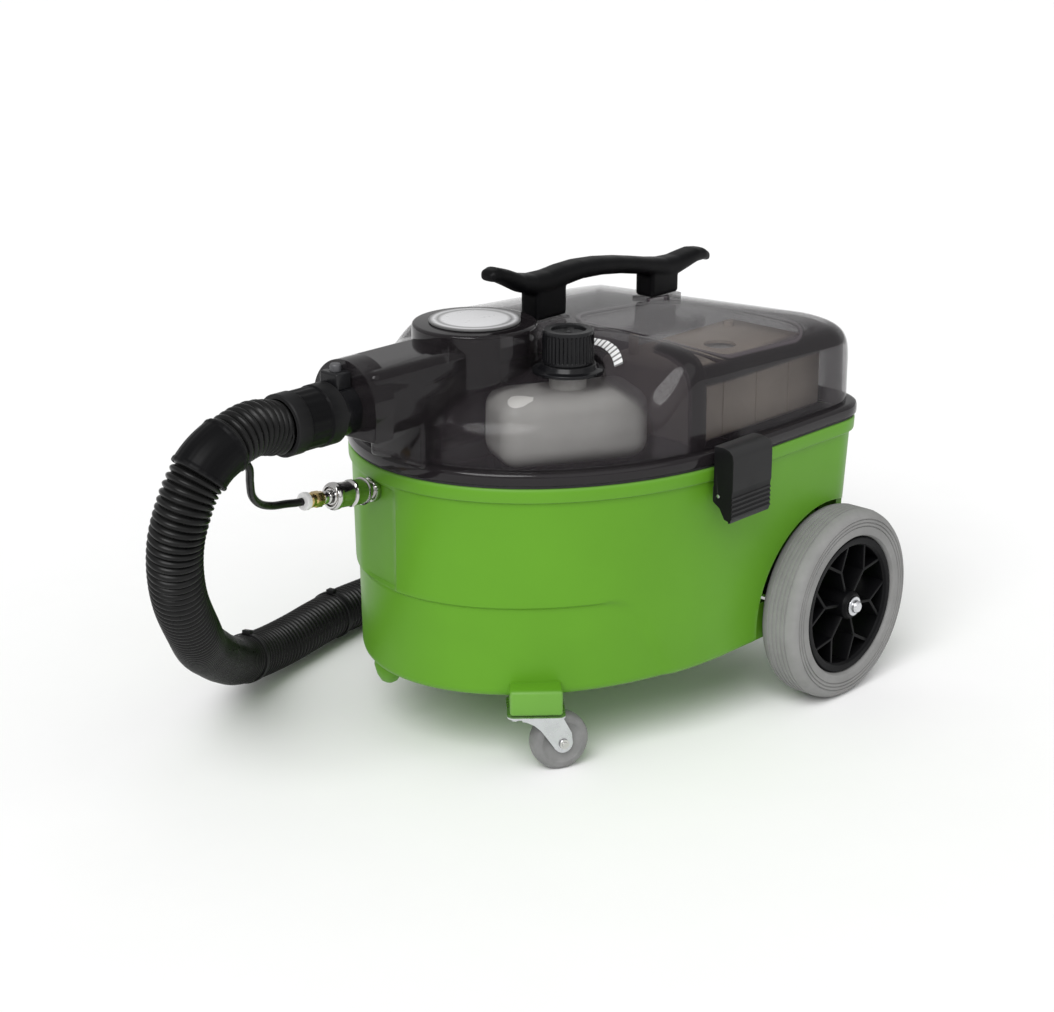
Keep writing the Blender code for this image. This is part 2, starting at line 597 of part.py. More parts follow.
def make_caster(name, x, y):
    """Plate, fork, wheel and axle pin, trailing along the caster's heading."""
    plate_top = CASTER_PLATE_Z + 0.0025
    half = CASTER_PLATE / 2
    plate = box(name + "_caster_plate", (x - half, y - half, CASTER_PLATE_Z), (x + half, y + half, plate_top),
                STEEL, bevel=0.001, segments=1)
    turn_about(plate, (x, y, 0), 45)
    race_low = CASTER_PLATE_Z - 0.0012
    race = cylinder(name + "_race", 0.016, 0.003, (x, y, race_low + 0.0015), "Z", sides=20)
    join(plate, race)

    axle_x = x + CASTER_TRAIL
    wheel_half = CASTER_WHEEL_WIDTH / 2
    cheek_in = wheel_half + 0.0006
    cheek_out = cheek_in + 0.0018
    top = race_low - GAP
    fork = box(name + "_caster_fork", (x - 0.018, y - cheek_out, top - 0.0020),
               (x + 0.020, y + cheek_out, top), STEEL)
    turn_about(fork, (x, y, 0), CASTER_HEADING)
    for side in (-1, 1):
        cheek = prism(f"{name}_cheek_{side}", [(x - 0.018, top - 0.0005), (x - 0.018, top - 0.006),
                                               (axle_x - 0.009, CASTER_WHEEL_RADIUS - 0.004),
                                               (axle_x - 0.004, CASTER_WHEEL_RADIUS - 0.009),
                                               (axle_x + 0.004, CASTER_WHEEL_RADIUS - 0.009),
                                               (axle_x + 0.008, CASTER_WHEEL_RADIUS - 0.003),
                                               (x + 0.020, top - 0.006), (x + 0.020, top - 0.0005)],
                      cheek_out - cheek_in, place=(0, y + side * (cheek_in + cheek_out) / 2, 0))
        join(fork, turn_about(cheek, (x, y, 0), CASTER_HEADING))
    swing = Matrix.Rotation(math.radians(CASTER_HEADING), 3, "Z")
    centre = Vector((x, y, 0)) + swing @ Vector((CASTER_TRAIL, 0, 0))
    along = swing @ Vector((0, 1, 0))
    bore = 0.0030 + AXLE_CLEARANCE
    pin_hole = turned(name + "_pin_hole", [(0, 0.03), (bore, 0.03), (bore, -0.03), (0, -0.03)],
                      place=(centre.x, centre.y, CASTER_WHEEL_RADIUS), direction=along, sides=12, ring=False)
    cut(fork, pin_hole)
    turned(name + "_caster_wheel", [(bore, wheel_half), (0.010, wheel_half),
                                    (CASTER_WHEEL_RADIUS - 0.004, wheel_half - 0.001),
                                    (CASTER_WHEEL_RADIUS - 0.001, wheel_half - 0.004),
                                    (CASTER_WHEEL_RADIUS, wheel_half - 0.008),
                                    (CASTER_WHEEL_RADIUS, 0.008 - wheel_half),
                                    (CASTER_WHEEL_RADIUS - 0.001, 0.004 - wheel_half),
                                    (CASTER_WHEEL_RADIUS - 0.004, 0.001 - wheel_half), (0.010, -wheel_half),
                                    (bore, -wheel_half)],
           TYRE, (centre.x, centre.y, CASTER_WHEEL_RADIUS), along, sides=24)
    pin_half = cheek_out + 0.0004
    turned(name + "_caster_pin", [(0, pin_half + 0.003), (0.005, pin_half + 0.002), (0.005, pin_half),
                                  (0.003, pin_half), (0.003, -pin_half), (0.005, -pin_half),
                                  (0.005, -pin_half - 0.002), (0, -pin_half - 0.003)],
           STEEL, (centre.x, centre.y, CASTER_WHEEL_RADIUS), along, sides=12, ring=False)


# ---------------------------------------------------------------- latches
def make_latch(name, side):
    """A pivot block on the tub, its pin and the sprung lever whose top hooks over the lid's skirt."""
    half = LATCH_WIDTH / 2
    cheek = 0.003
    inner_half = half - cheek - 0.0005
    tub_face = TUB_HALF_WIDTH - BAND_STEP + GAP
    skirt_top = TUB_TOP_Z + GAP + SEAL_HEIGHT + GAP + LID_SKIRT_HEIGHT

    def across(near, far):
        return sorted((side * near, side * far))

    y0, y1 = across(tub_face, LATCH_PIVOT_Y + 0.005)
    block = box(name + "_latch_bracket", (LATCH_X - inner_half, y0, LATCH_PIVOT_Z - 0.009),
                (LATCH_X + inner_half, y1, LATCH_PIVOT_Z + 0.0085), BLACK, bevel=0.001, segments=1)
    pin_radius = 0.002
    hole = cylinder(name + "_latch_bore", pin_radius + GAP, 0.1, (LATCH_X, side * LATCH_PIVOT_Y, LATCH_PIVOT_Z),
                    "X", sides=24)
    cut(block, hole)
    cylinder(name + "_latch_pin", pin_radius, LATCH_WIDTH - 0.001,
             (LATCH_X, side * LATCH_PIVOT_Y, LATCH_PIVOT_Z), "X", STEEL, sides=24)

    y0, y1 = across(LATCH_FACE_Y - 0.0035, LATCH_FACE_Y)
    lever = box(name + "_latch_lever", (LATCH_X - half, y0, 0.238), (LATCH_X + half, y1, skirt_top + 0.008),
                BLACK, bevel=0.001, segments=1)
    y0, y1 = across(LATCH_REACH_Y, LATCH_FACE_Y - 0.001)
    hook = box(name + "_hook", (LATCH_X - half, y0, skirt_top + 0.0006),
               (LATCH_X + half, y1, skirt_top + 0.0055), bevel=0.0006, segments=1)
    join(lever, hook)
    for end in (-1, 1):
        x0, x1 = sorted((LATCH_X + end * (half - 0.0001), LATCH_X + end * (half - cheek)))
        y0, y1 = across(LATCH_REACH_Y, LATCH_FACE_Y - 0.001)
        ear = box(f"{name}_ear_{end}", (x0, y0, LATCH_PIVOT_Z - 0.007), (x1, y1, skirt_top + 0.003))
        join(lever, ear)
    swing_hole = cylinder(name + "_lever_bore", pin_radius + AXLE_CLEARANCE, 0.1,
                          (LATCH_X, side * LATCH_PIVOT_Y, LATCH_PIVOT_Z), "X", sides=24)
    cut(lever, swing_hole)


# ---------------------------------------------------------------- the lid
def roof_height(x, share):
    """Height of the dome's outside at x, for a ring at this share of the plan outline."""
    base = LID_BASE_Z
    nose = base + (LID_SHOULDER_Z - base) * (1 - share ** 24) ** 0.25
    nose += (LID_CROWN_Z - LID_SHOULDER_Z) * (1 - share ** 2)
    plane = LID_CROWN_Z - LID_SLOPE * (x - LID_BLOCK_X)
    block = base + (plane - base) * (1 - share ** 10) ** 0.125
    blend = min(1.0, max(0.0, (x - LID_BLOCK_X + 0.045) / 0.050))
    blend = blend * blend * (3 - 2 * blend)
    return nose + (block - nose) * blend


LID_LOW_Z = TUB_TOP_Z + GAP + SEAL_HEIGHT + GAP
LID_BASE_Z = LID_LOW_Z + LID_SKIRT_HEIGHT
LID_MIDDLE_X = -0.140


def dome_rings(inset, drop):
    """Rings of the dome from its foot to near its middle, pulled in by inset and lowered by drop."""
    foot = outline(TUB_HALF_WIDTH + 0.001 - inset, TUB_FRONT_REACH + 0.001 - inset, TUB_REAR_X + 0.001 - inset,
                   TUB_CORNER, 0.0, nose=32)
    rings = []
    for share in (0.999, 0.985, 0.955, 0.90, 0.80, 0.60, 0.30, 0.02):
        ring = []
        for x, y, _ in foot:
            px = LID_MIDDLE_X + (x - LID_MIDDLE_X) * share
            ring.append((px, y * share, roof_height(px, share) - drop))
        rings.append(ring)
    return foot, rings


def make_lid():
    skirt = [outline(TUB_HALF_WIDTH + 0.001 - inset, TUB_FRONT_REACH + 0.001 - inset, TUB_REAR_X + 0.001 - inset,
                     TUB_CORNER, z, nose=32)
             for inset, z in ((0.0, LID_LOW_Z), (0.0, LID_BASE_Z - 0.0015), (0.0015, LID_BASE_Z))]
    foot, rings = dome_rings(LID_SKIRT_WIDTH, 0.0)
    lid = loft("lid", skirt + [[(x, y, LID_BASE_Z + 0.0001) for x, y, _ in foot]] + rings, SMOKE)

    turret = turned("turret", [(0, TURRET_TOP_Z), (TURRET_RADIUS - 0.004, TURRET_TOP_Z),
                               (TURRET_RADIUS, TURRET_TOP_Z - 0.004), (TURRET_RADIUS, 0.335), (0, 0.335)],
                    place=(TURRET_X, 0, 0), sides=40, ring=False)
    duct = box("duct", (COLLAR_FRONT_X + 0.005, -DUCT_HALF_WIDTH, 0.330),
               (TURRET_X, DUCT_HALF_WIDTH, DUCT_TOP_Z), bevel=0.012)
    low = INLET_Z - 0.048
    spring = INLET_Z + 0.004
    arch = [(-COLLAR_HALF_WIDTH, low), (COLLAR_HALF_WIDTH, low)]
    arch += [(COLLAR_HALF_WIDTH * math.cos(math.radians(a)), spring + COLLAR_HALF_WIDTH * math.sin(math.radians(a)))
             for a in range(0, 181, 15)]
    collar = prism("collar", arch, COLLAR_LENGTH, place=(COLLAR_FRONT_X + COLLAR_LENGTH / 2, 0, 0), plane="YZ")
    join(lid, turret, duct, collar)
    for name, x in zip(("front_pad", "rear_pad"), HANDLE_POSTS_X):
        half = HANDLE_POST / 2 + 0.002
        pad_top = handle_foot(x) - GAP
        pad = box(name, (x - half, -HANDLE_WIDTH / 2 - 0.003, pad_top - 0.012),
                  (x + half, HANDLE_WIDTH / 2 + 0.003, pad_top), bevel=0.001, segments=1)
        join(lid, pad)

    inner_foot, inner_rings = dome_rings(LID_SKIRT_WIDTH + WALL, WALL)
    lowest = [(x, y, LID_LOW_Z - 0.004) for x, y, _ in inner_foot]
    base = [(x, y, LID_BASE_Z - 0.004) for x, y, _ in inner_foot]
    space = loft("lid_space", [lowest, base] + inner_rings[1:])
    turret_space = turned("turret_space", [(0, TURRET_TOP_Z - WALL), (TURRET_RADIUS - WALL, TURRET_TOP_Z - WALL),
                                           (TURRET_RADIUS - WALL, 0.330), (0, 0.330)],
                          place=(TURRET_X, 0, 0), sides=40, ring=False)
    bore = cylinder("inlet_bore", SPIGOT_RADIUS + GAP, 0.19, (COLLAR_FRONT_X + 0.085, 0, INLET_Z), "X", sides=28)
    neck = cylinder("neck_hole", NECK_RADIUS + 0.001, 0.06, (CAP_X, CAP_Y, FILLER_Z), "Z")
    land = cylinder("filler_land", FILLER_RADIUS + 0.0015, 0.012, (CAP_X, CAP_Y, FILLER_Z - 0.006), "Z", sides=28)
    land_keep = cylinder("filler_land_wall", FILLER_RADIUS + 0.0050, 0.05,
                         (CAP_X, CAP_Y, FILLER_Z - WALL + 0.025), "Z", sides=28)
    land_clear = cylinder("filler_land_top", FILLER_RADIUS + 0.0018, 0.05, (CAP_X, CAP_Y, FILLER_Z + 0.025), "Z",
                          sides=28)
    join(lid, land)
    cut(space, land_keep)
    cut(lid, space, turret_space, bore, neck, land_clear)
    return lid


def handle_foot(x):
    """Bottom of a handle post whose middle is at x: just over the highest roof under it."""
    highest_x = max(LID_BLOCK_X, x - HANDLE_POST / 2 - 0.002)
    return LID_CROWN_Z - LID_SLOPE * (highest_x - LID_BLOCK_X) + 0.0012


def make_handle():
    """A horned grip on two posts, drawn in the middle plane and tilted with the roof."""
    middle = (HANDLE_FRONT_X + HANDLE_REAR_X) / 2
    half = (HANDLE_REAR_X - HANDLE_FRONT_X) / 2
    tilt = (HANDLE_REAR_Z - HANDLE_FRONT_Z) / (2 * half)

    def chord(x):
        return HANDLE_FRONT_Z + tilt * (x - HANDLE_FRONT_X)

    top = [(-1.0, -0.004), (-0.97, 0.0), (-0.90, -0.001), (-0.80, -0.006), (-0.68, -0.0085), (-0.55, -0.007),
           (-0.40, -0.001), (-0.20, 0.006), (0.0, 0.009), (0.20, 0.006), (0.40, -0.001), (0.55, -0.006),
           (0.68, -0.0075), (0.80, -0.005), (0.90, 0.0), (0.97, 0.001), (1.0, -0.003)]
    horn = [(1.0, -0.010), (0.95, -0.016), (0.85, -0.024), (0.74, -0.031)]
    grip = [(0.28, -0.0215), (0.15, -0.0145), (0.0, -0.012), (-0.15, -0.0145), (-0.28, -0.0215)]
    outline_points = [(middle + s * half, chord(middle + s * half) + h) for s, h in top + horn]
    front, rear = HANDLE_POSTS_X
    post = HANDLE_POST / 2
    outline_points += [(rear + post, chord(rear + post) - 0.036), (rear + post, handle_foot(rear)),
                       (rear - post, handle_foot(rear)), (rear - post, chord(rear - post) - 0.028)]
    outline_points += [(middle + s * half, chord(middle + s * half) + h) for s, h in grip]
    outline_points += [(front + post, chord(front + post) - 0.028), (front + post, handle_foot(front)),
                       (front - post, handle_foot(front)), (front - post, chord(front - post) - 0.036)]
    outline_points += [(middle - s * half, chord(middle - s * half) + h) for s, h in reversed(horn)]
    prism("handle", list(reversed(outline_points)), HANDLE_WIDTH, BLACK, bevel=0.004)


def make_lid_fittings():
    label_z = TURRET_TOP_Z + GAP
    turned("turret_label", [(0, LABEL_THICKNESS), (LABEL_RADIUS - 0.001, LABEL_THICKNESS), (LABEL_RADIUS, 0.001),
                            (LABEL_RADIUS, 0.0), (0, 0.0)], WHITE, (TURRET_X, 0, label_z), sides=40, ring=False)

    spigot_length = SPIGOT_BACK_X - SPIGOT_FRONT_X
    spigot = turned("inlet_spigot", [(SPIGOT_RADIUS - WALL, spigot_length), (SPIGOT_RADIUS, spigot_length),
                                     (SPIGOT_RADIUS, 0.0), (SPIGOT_RADIUS - WALL, 0.0)],
                    BLACK, (SPIGOT_BACK_X, 0, INLET_Z), (-1, 0, 0), sides=28)
    housing = box("release_housing", (-0.499, -0.012, INLET_Z + SPIGOT_RADIUS - 0.004),
                  (COLLAR_FRONT_X - GAP, 0.012, INLET_Z + SPIGOT_RADIUS + 0.013), bevel=0.002)
    button_x = -0.4895
    well = cylinder("button_well", 0.0056, 0.020, (button_x, 0, INLET_Z + SPIGOT_RADIUS + 0.0155), "Z", sides=16)
    clear = cylinder("spigot_way", SPIGOT_RADIUS - WALL, 0.16, (-0.47, 0, INLET_Z), "X", sides=28)
    join(spigot, housing)
    cut(spigot, clear, well)
    turned("hose_release_button", [(0, 0.0105), (0.0035, 0.0100), (0.0052, 0.0080), (0.0052, 0.0), (0, 0.0)],
           GREY, (button_x, 0, INLET_Z + SPIGOT_RADIUS + 0.0092), sides=16, ring=False)

    filler_base = FILLER_Z
    turned("filler_collar", [(NECK_RADIUS + 0.0012, 0.0088), (0.026, 0.0088), (0.028, 0.004),
                             (FILLER_RADIUS, 0.003), (FILLER_RADIUS, 0.0), (NECK_RADIUS + 0.0012, 0.0)],
           BLACK, (CAP_X, CAP_Y, filler_base + 0.0006), sides=32)
    turned("bottle_cap", [(0, CAP_HEIGHT - 0.002), (0.016, CAP_HEIGHT - 0.002), (0.017, CAP_HEIGHT),
                          (CAP_RADIUS - 0.0015, CAP_HEIGHT), (CAP_RADIUS, CAP_HEIGHT - 0.0015),
                          (CAP_RADIUS, 0.0), (0.0195, 0.0), (0.0195, 0.022), (0, 0.022)],
           BLACK, (CAP_X, CAP_Y, CAP_BOTTOM_Z), sides=32, ring=False)


def make_bottle():
    """The defoamer bottle under the near front of the dome, its neck through the filler hole."""
    length, width = 0.146, 0.070
    low, high = LID_BASE_Z - 0.004, 0.363
    middle = (-0.281, -0.087)
    bottle = box("defoamer_bottle", (middle[0] - length / 2, middle[1] - width / 2, low),
                 (middle[0] + length / 2, middle[1] + width / 2, high), MILKY, bevel=0.022, segments=3)
    turn_about(bottle, (*middle, 0), -28)
    neck_low = high - 0.004
    neck_top = CAP_BOTTOM_Z + 0.020
    neck = cylinder("bottle_neck", NECK_RADIUS, neck_top - neck_low, (CAP_X, CAP_Y, (neck_top + neck_low) / 2), "Z")
    return join(bottle, neck)


def make_air_box():
    """The open-bottomed air box under the rear window, with the float that shuts the suction off."""
    low, high = LID_BASE_Z - 0.002, 0.372
    air_box = box("air_box", (-0.195, -0.177, low), (0.008, -0.060, high), BEIGE, bevel=0.004, segments=1)
    space = box("air_box_space", (-0.192, -0.174, low - 0.01), (0.005, -0.063, high - WALL))
    port = cylinder("float_port", 0.016, 0.02, (FLOAT_X, FLOAT_Y, high), "Z", sides=16)
    cut(air_box, space, port)
    for x in (-0.170, -0.020):
        roof = LID_CROWN_Z - LID_SLOPE * (x + 0.005 - LID_BLOCK_X) - WALL - 0.002
        post = cylinder(f"air_box_post_{x}", 0.005, roof - high + 0.004, (x, -0.080, (roof + high - 0.004) / 2), "Z",
                        sides=8)
        join(air_box, post)
    cage_low = low + 0.002
    tall = high - WALL - GAP - cage_low
    cage = turned("float_cage", [(0.0215, tall), (0.0235, tall), (0.0235, 0.0), (0.0120, 0.0), (0.0120, 0.002),
                                 (0.0215, 0.002)], WHITE, (FLOAT_X, FLOAT_Y, cage_low), sides=20)
    for step in range(2):
        slot = box(f"cage_slot_{step}", (FLOAT_X - 0.005, FLOAT_Y - 0.03, cage_low + 0.008),
                   (FLOAT_X + 0.005, FLOAT_Y + 0.03, cage_low + 0.044))
        cut(cage, turn_about(slot, (FLOAT_X, FLOAT_Y, 0), 90 * step))
    bm = bmesh.new()
    bmesh.ops.create_uvsphere(bm, u_segments=16, v_segments=10, radius=FLOAT_RADIUS)
    add_object("float_ball", mesh_from(bm, "float_ball"), WHITE,
               (FLOAT_X, FLOAT_Y, cage_low + 0.0023 + FLOAT_RADIUS))


FLOAT_X = -0.085
FLOAT_Y = -0.120
FLOAT_RADIUS = 0.019


# ---------------------------------------------------------------- hoses and what is on them
def hose_line():
    """The whole route: the hand-chosen points, the loop, and a straight end that rises to its cuff."""
    route = list(HOSE_ROUTE)
    floor_z = HOSE_ROUTE[-1][2]
    end_z = CUFF_RADIUS + GAP
    steps = round((LOOP_END - LOOP_START) / LOOP_STEP)
    for step in range(steps + 1):
        angle = math.radians(LOOP_START + (LOOP_END - LOOP_START) * step / steps)
        z = end_z if step == steps else floor_z
        route.append((LOOP_CENTRE[0] + LOOP_RADIUS * math.cos(angle),
                      LOOP_CENTRE[1] + LOOP_RADIUS * math.sin(angle), z))
    x, y, z = route[-1]
    return route + [(x - LOOP_STRAIGHT / 2, y, z), (x - LOOP_STRAIGHT, y, z)]


def sleeve_on(name, line, first, last, outer, inner, look, resolution=4):
    """A ring round the hose between two of its points."""
    body = tube(name, line[first:last + 1], outer, look, resolution)
    start = line[first] + (line[first] - line[first + 1]) * 0.2
    end = line[last] + (line[last] - line[last - 1]) * 0.2
    space = tube(name + "_way", [start] + line[first:last + 1] + [end], inner, None, resolution)
    return cut(body, space)


def make_hoses():
    cuff_bore = SPIGOT_RADIUS + CUFF_BORE_CLEARANCE
    cuff_back = COLLAR_FRONT_X - 0.020
    cuff_front = cuff_back - CUFF_LENGTH
    turned("hose_cuff", [(cuff_bore, 0.0), (CUFF_RADIUS - 0.001, 0.0), (CUFF_RADIUS, -0.001),
                         (CUFF_RADIUS, -0.018), (CUFF_RADIUS - 0.0015, -0.019), (CUFF_RADIUS - 0.0015, -0.040),
                         (CUFF_RADIUS, -0.041), (CUFF_RADIUS, 0.001 - CUFF_LENGTH),
                         (CUFF_RADIUS - 0.001, -CUFF_LENGTH), (cuff_bore, -CUFF_LENGTH)],
           BLACK, (cuff_back, 0, INLET_Z), (1, 0, 0), sides=24)
    route = hose_line()
    start = Vector((cuff_front - GAP, 0, INLET_Z))
    straight = start - Vector((0.006, 0, 0))
    close = smooth_line([straight] + route[1:], 0.031)
    line = [start] + [p for i, p in enumerate(close) if p.x < FLOOR_RUN_X or i % 3 == 0]
    ends = [Vector(route[-2]), Vector(route[-1])]
    line = [p for p in line if min((p - end).length for end in ends) > HOSE_RADIUS] + ends
    tube("suction_hose", line, HOSE_RADIUS, RUBBER, 3)
    sleeve_on("hose_band", line, 4, 5, HOSE_RADIUS + 0.0045, HOSE_RADIUS + 0.0028, BLACK)
    fine = smooth_line([straight] + route[1:], 0.010)
    for name, x in (("hose_tie_1", -0.425), ("hose_tie_2", -0.262)):
        first = next(i for i, p in enumerate(fine) if p.x > x and p.z < 0.06)
        sleeve_on(name, fine, first, first + 1, HOSE_RADIUS + 0.0034, HOSE_RADIUS + 0.0018, BLACK)
    end = line[-1]
    heading = Vector((-1, 0, 0))
    turned("hose_end_cuff", [(0.019, 0.0), (CUFF_RADIUS - 0.001, 0.0), (CUFF_RADIUS, 0.001),
                             (CUFF_RADIUS, 0.030), (0.0255, 0.034), (0.0235, END_CUFF_LENGTH),
                             (0.019, END_CUFF_LENGTH)][::-1],
           BLACK, tuple(end + heading * GAP), heading, sides=24)


def make_coupling():
    """The quick coupler on the tub and what the solution hose plugs into it with."""
    axis = Vector(COUPLER_AXIS)
    base = Vector((COUPLER_X, COUPLER_Y, COUPLER_Z))
    turned("coupler_body", [(0, COUPLER_BODY), (COUPLER_BODY_RADIUS - 0.002, COUPLER_BODY),
                            (COUPLER_BODY_RADIUS, COUPLER_BODY - 0.002), (COUPLER_BODY_RADIUS, 0.006),
                            (0.0125, 0.006), (0.0125, 0.0), (COUPLER_BODY_RADIUS - 0.001, 0.0),
                            (COUPLER_BODY_RADIUS - 0.001, -0.010), (0, -0.010)],
           CHROME, tuple(base), COUPLER_AXIS, sides=16, ring=False)
    sleeve_end = COUPLER_BODY - SLEEVE_START
    inner = COUPLER_BODY_RADIUS + 0.0004
    turned("coupler_sleeve", [(inner, sleeve_end), (SLEEVE_RADIUS - 0.001, sleeve_end),
                              (SLEEVE_RADIUS, sleeve_end - 0.002), (SLEEVE_RADIUS, 0.026),
                              (SLEEVE_RADIUS - 0.0015, 0.024), (SLEEVE_RADIUS - 0.0015, 0.020),
                              (SLEEVE_RADIUS, 0.018), (SLEEVE_RADIUS, 0.006), (SLEEVE_RADIUS + 0.0013, 0.004),
                              (SLEEVE_RADIUS + 0.0013, 0.0), (inner, 0.0)],
           CHROME, tuple(base + axis * SLEEVE_START), COUPLER_AXIS, sides=16)
    along = COUPLER_BODY + GAP
    turned("hose_plug", [(0, PLUG_LENGTH), (PLUG_RADIUS, PLUG_LENGTH), (PLUG_RADIUS, 0.0), (0, 0.0)], CHROME,
           tuple(base + axis * along), COUPLER_AXIS, sides=16, ring=False)
    along += PLUG_LENGTH + GAP
    turned("hose_nut", [(0, NUT_LENGTH), (0.006, NUT_LENGTH), (0.0068, NUT_LENGTH - 0.005),
                        (NUT_RADIUS, NUT_LENGTH - 0.006), (NUT_RADIUS, 0.0), (0, 0.0)], BRASS,
           tuple(base + axis * along), COUPLER_AXIS, sides=6, ring=False)
    along += NUT_LENGTH + GAP
    turned("hose_ferrule", [(0, FERRULE_LENGTH), (0.0078, FERRULE_LENGTH), (0.0086, FERRULE_LENGTH - 0.001),
                            (0.0086, 0.0), (0, 0.0)], WHITE,
           tuple(base + axis * along), COUPLER_AXIS, sides=16, ring=False)
    start = base + axis * (along + FERRULE_LENGTH + GAP)
    route = [tuple(start), tuple(start + axis * 0.008)] + SOLUTION_ROUTE
    tube("solution_hose", smooth_line(route, 0.009), SOLUTION_HOSE_RADIUS, BLACK, 2)


machine_tub = make_tub()
make_seal()
make_tanks()
make_motor_group()
make_rear_fittings(machine_tub)
make_rear_wheels()
for caster_name, (caster_x, caster_y) in CASTERS.items():
    make_caster(caster_name, caster_x, caster_y)
for latch_name, latch_side in SIDES.items():
    make_latch(latch_name, latch_side)
make_lid()
make_handle()
make_lid_fittings()
make_bottle()
make_air_box()
make_hoses()
make_coupling()
for part in PARTS.objects:
    if part.type == "MESH":
        part.data.shade_smooth()
        part.data.set_sharp_from_angle(angle=math.radians(35))
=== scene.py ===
"""The carpet cleaner's visual model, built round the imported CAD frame.

Lengths are metres, apart from the points handed to mm().  Positions are written in machine
coordinates, as in part.py: x from the rear axle with -X at the hose end, y from the middle plane,
z from the floor.  SHIFT takes them to the row frame.
"""
import math

import bmesh
import bpy
from mathutils import Matrix, Vector


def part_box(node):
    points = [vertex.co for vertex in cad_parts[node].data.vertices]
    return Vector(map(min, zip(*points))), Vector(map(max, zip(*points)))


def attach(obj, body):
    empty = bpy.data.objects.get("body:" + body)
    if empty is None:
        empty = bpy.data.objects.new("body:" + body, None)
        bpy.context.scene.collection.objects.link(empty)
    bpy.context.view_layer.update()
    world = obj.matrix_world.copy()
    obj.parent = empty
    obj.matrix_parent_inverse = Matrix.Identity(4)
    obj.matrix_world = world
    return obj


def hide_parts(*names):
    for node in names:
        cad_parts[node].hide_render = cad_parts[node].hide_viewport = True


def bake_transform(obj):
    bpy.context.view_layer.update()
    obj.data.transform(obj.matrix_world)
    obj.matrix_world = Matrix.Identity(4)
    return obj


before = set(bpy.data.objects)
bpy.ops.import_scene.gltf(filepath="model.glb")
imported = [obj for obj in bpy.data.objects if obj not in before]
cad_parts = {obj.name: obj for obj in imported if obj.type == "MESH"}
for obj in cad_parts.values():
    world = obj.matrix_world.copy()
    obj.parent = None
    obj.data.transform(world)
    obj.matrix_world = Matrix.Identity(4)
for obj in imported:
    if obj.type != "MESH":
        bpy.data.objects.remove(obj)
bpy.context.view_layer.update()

axle_low, axle_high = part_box("rear_axle")
SHIFT = Vector(((axle_low.x + axle_high.x) / 2, 0, 0))
GAP = 0.0003
SIDES = {"near": -1, "far": 1}


# ================================================================ materials
def node_material(name, metallic=0.0, alpha=1.0, coat=0.0, ior=1.5, shine=0.5):
    material = bpy.data.materials.new(name)
    material.use_nodes = True
    shader = material.node_tree.nodes["Principled BSDF"]
    shader.inputs["Metallic"].default_value = metallic
    shader.inputs["Alpha"].default_value = alpha
    shader.inputs["Coat Weight"].default_value = coat
    shader.inputs["Coat Roughness"].default_value = 0.08
    shader.inputs["IOR"].default_value = ior
    shader.inputs["Specular IOR Level"].default_value = shine
    return material, shader, material.node_tree


def add(tree, kind, **values):
    node = tree.nodes.new(kind)
    for key, value in values.items():
        if hasattr(node, key):
            setattr(node, key, value)
        else:
            node.inputs[key.replace("_", " ")].default_value = value
    return node


def noise_at(tree, scale, detail=3.0, roughness=0.55, stretch=(1, 1, 1)):
    where = add(tree, "ShaderNodeTexCoord")
    spread = add(tree, "ShaderNodeMapping")
    spread.inputs["Scale"].default_value = stretch
    texture = add(tree, "ShaderNodeTexNoise", Scale=scale, Detail=detail, Roughness=roughness)
    tree.links.new(where.outputs["Object"], spread.inputs["Vector"])
    tree.links.new(spread.outputs["Vector"], texture.inputs["Vector"])
    return texture.outputs["Fac"]


def ramp(tree, source, stops):
    node = add(tree, "ShaderNodeValToRGB")
    elements = node.color_ramp.elements
    while len(elements) < len(stops):
        elements.new(0.5)
    for element, (place, colour) in zip(elements, stops):
        element.position = place
        element.color = (*colour, 1)
    tree.links.new(source, node.inputs["Fac"])
    return node.outputs["Color"]


def spread_range(tree, source, low, high):
    node = add(tree, "ShaderNodeMapRange")
    node.inputs["From Min"].default_value = 0.3
    node.inputs["From Max"].default_value = 0.7
    node.inputs["To Min"].default_value = low
    node.inputs["To Max"].default_value = high
    tree.links.new(source, node.inputs["Value"])
    return node.outputs["Result"]


def mixed(tree, share, first, second):
    node = add(tree, "ShaderNodeMix", data_type="RGBA")
    tree.links.new(share, node.inputs[0])
    for socket, value in ((node.inputs[6], first), (node.inputs[7], second)):
        if isinstance(value, tuple):
            socket.default_value = (*value, 1)
        else:
            tree.links.new(value, socket)
    return node.outputs[2]


def bump(tree, shader, source, strength, distance):
    node = add(tree, "ShaderNodeBump", Strength=strength, Distance=distance)
    tree.links.new(source, node.inputs["Height"])
    tree.links.new(node.outputs["Normal"], shader.inputs["Normal"])


def edge_share(tree, low=0.52, high=0.60):
    """White along sharp outer edges, from the mesh's own pointiness."""
    shape = add(tree, "ShaderNodeNewGeometry")
    return ramp(tree, shape.outputs["Pointiness"], [(low, (0, 0, 0)), (high, (1, 1, 1))])


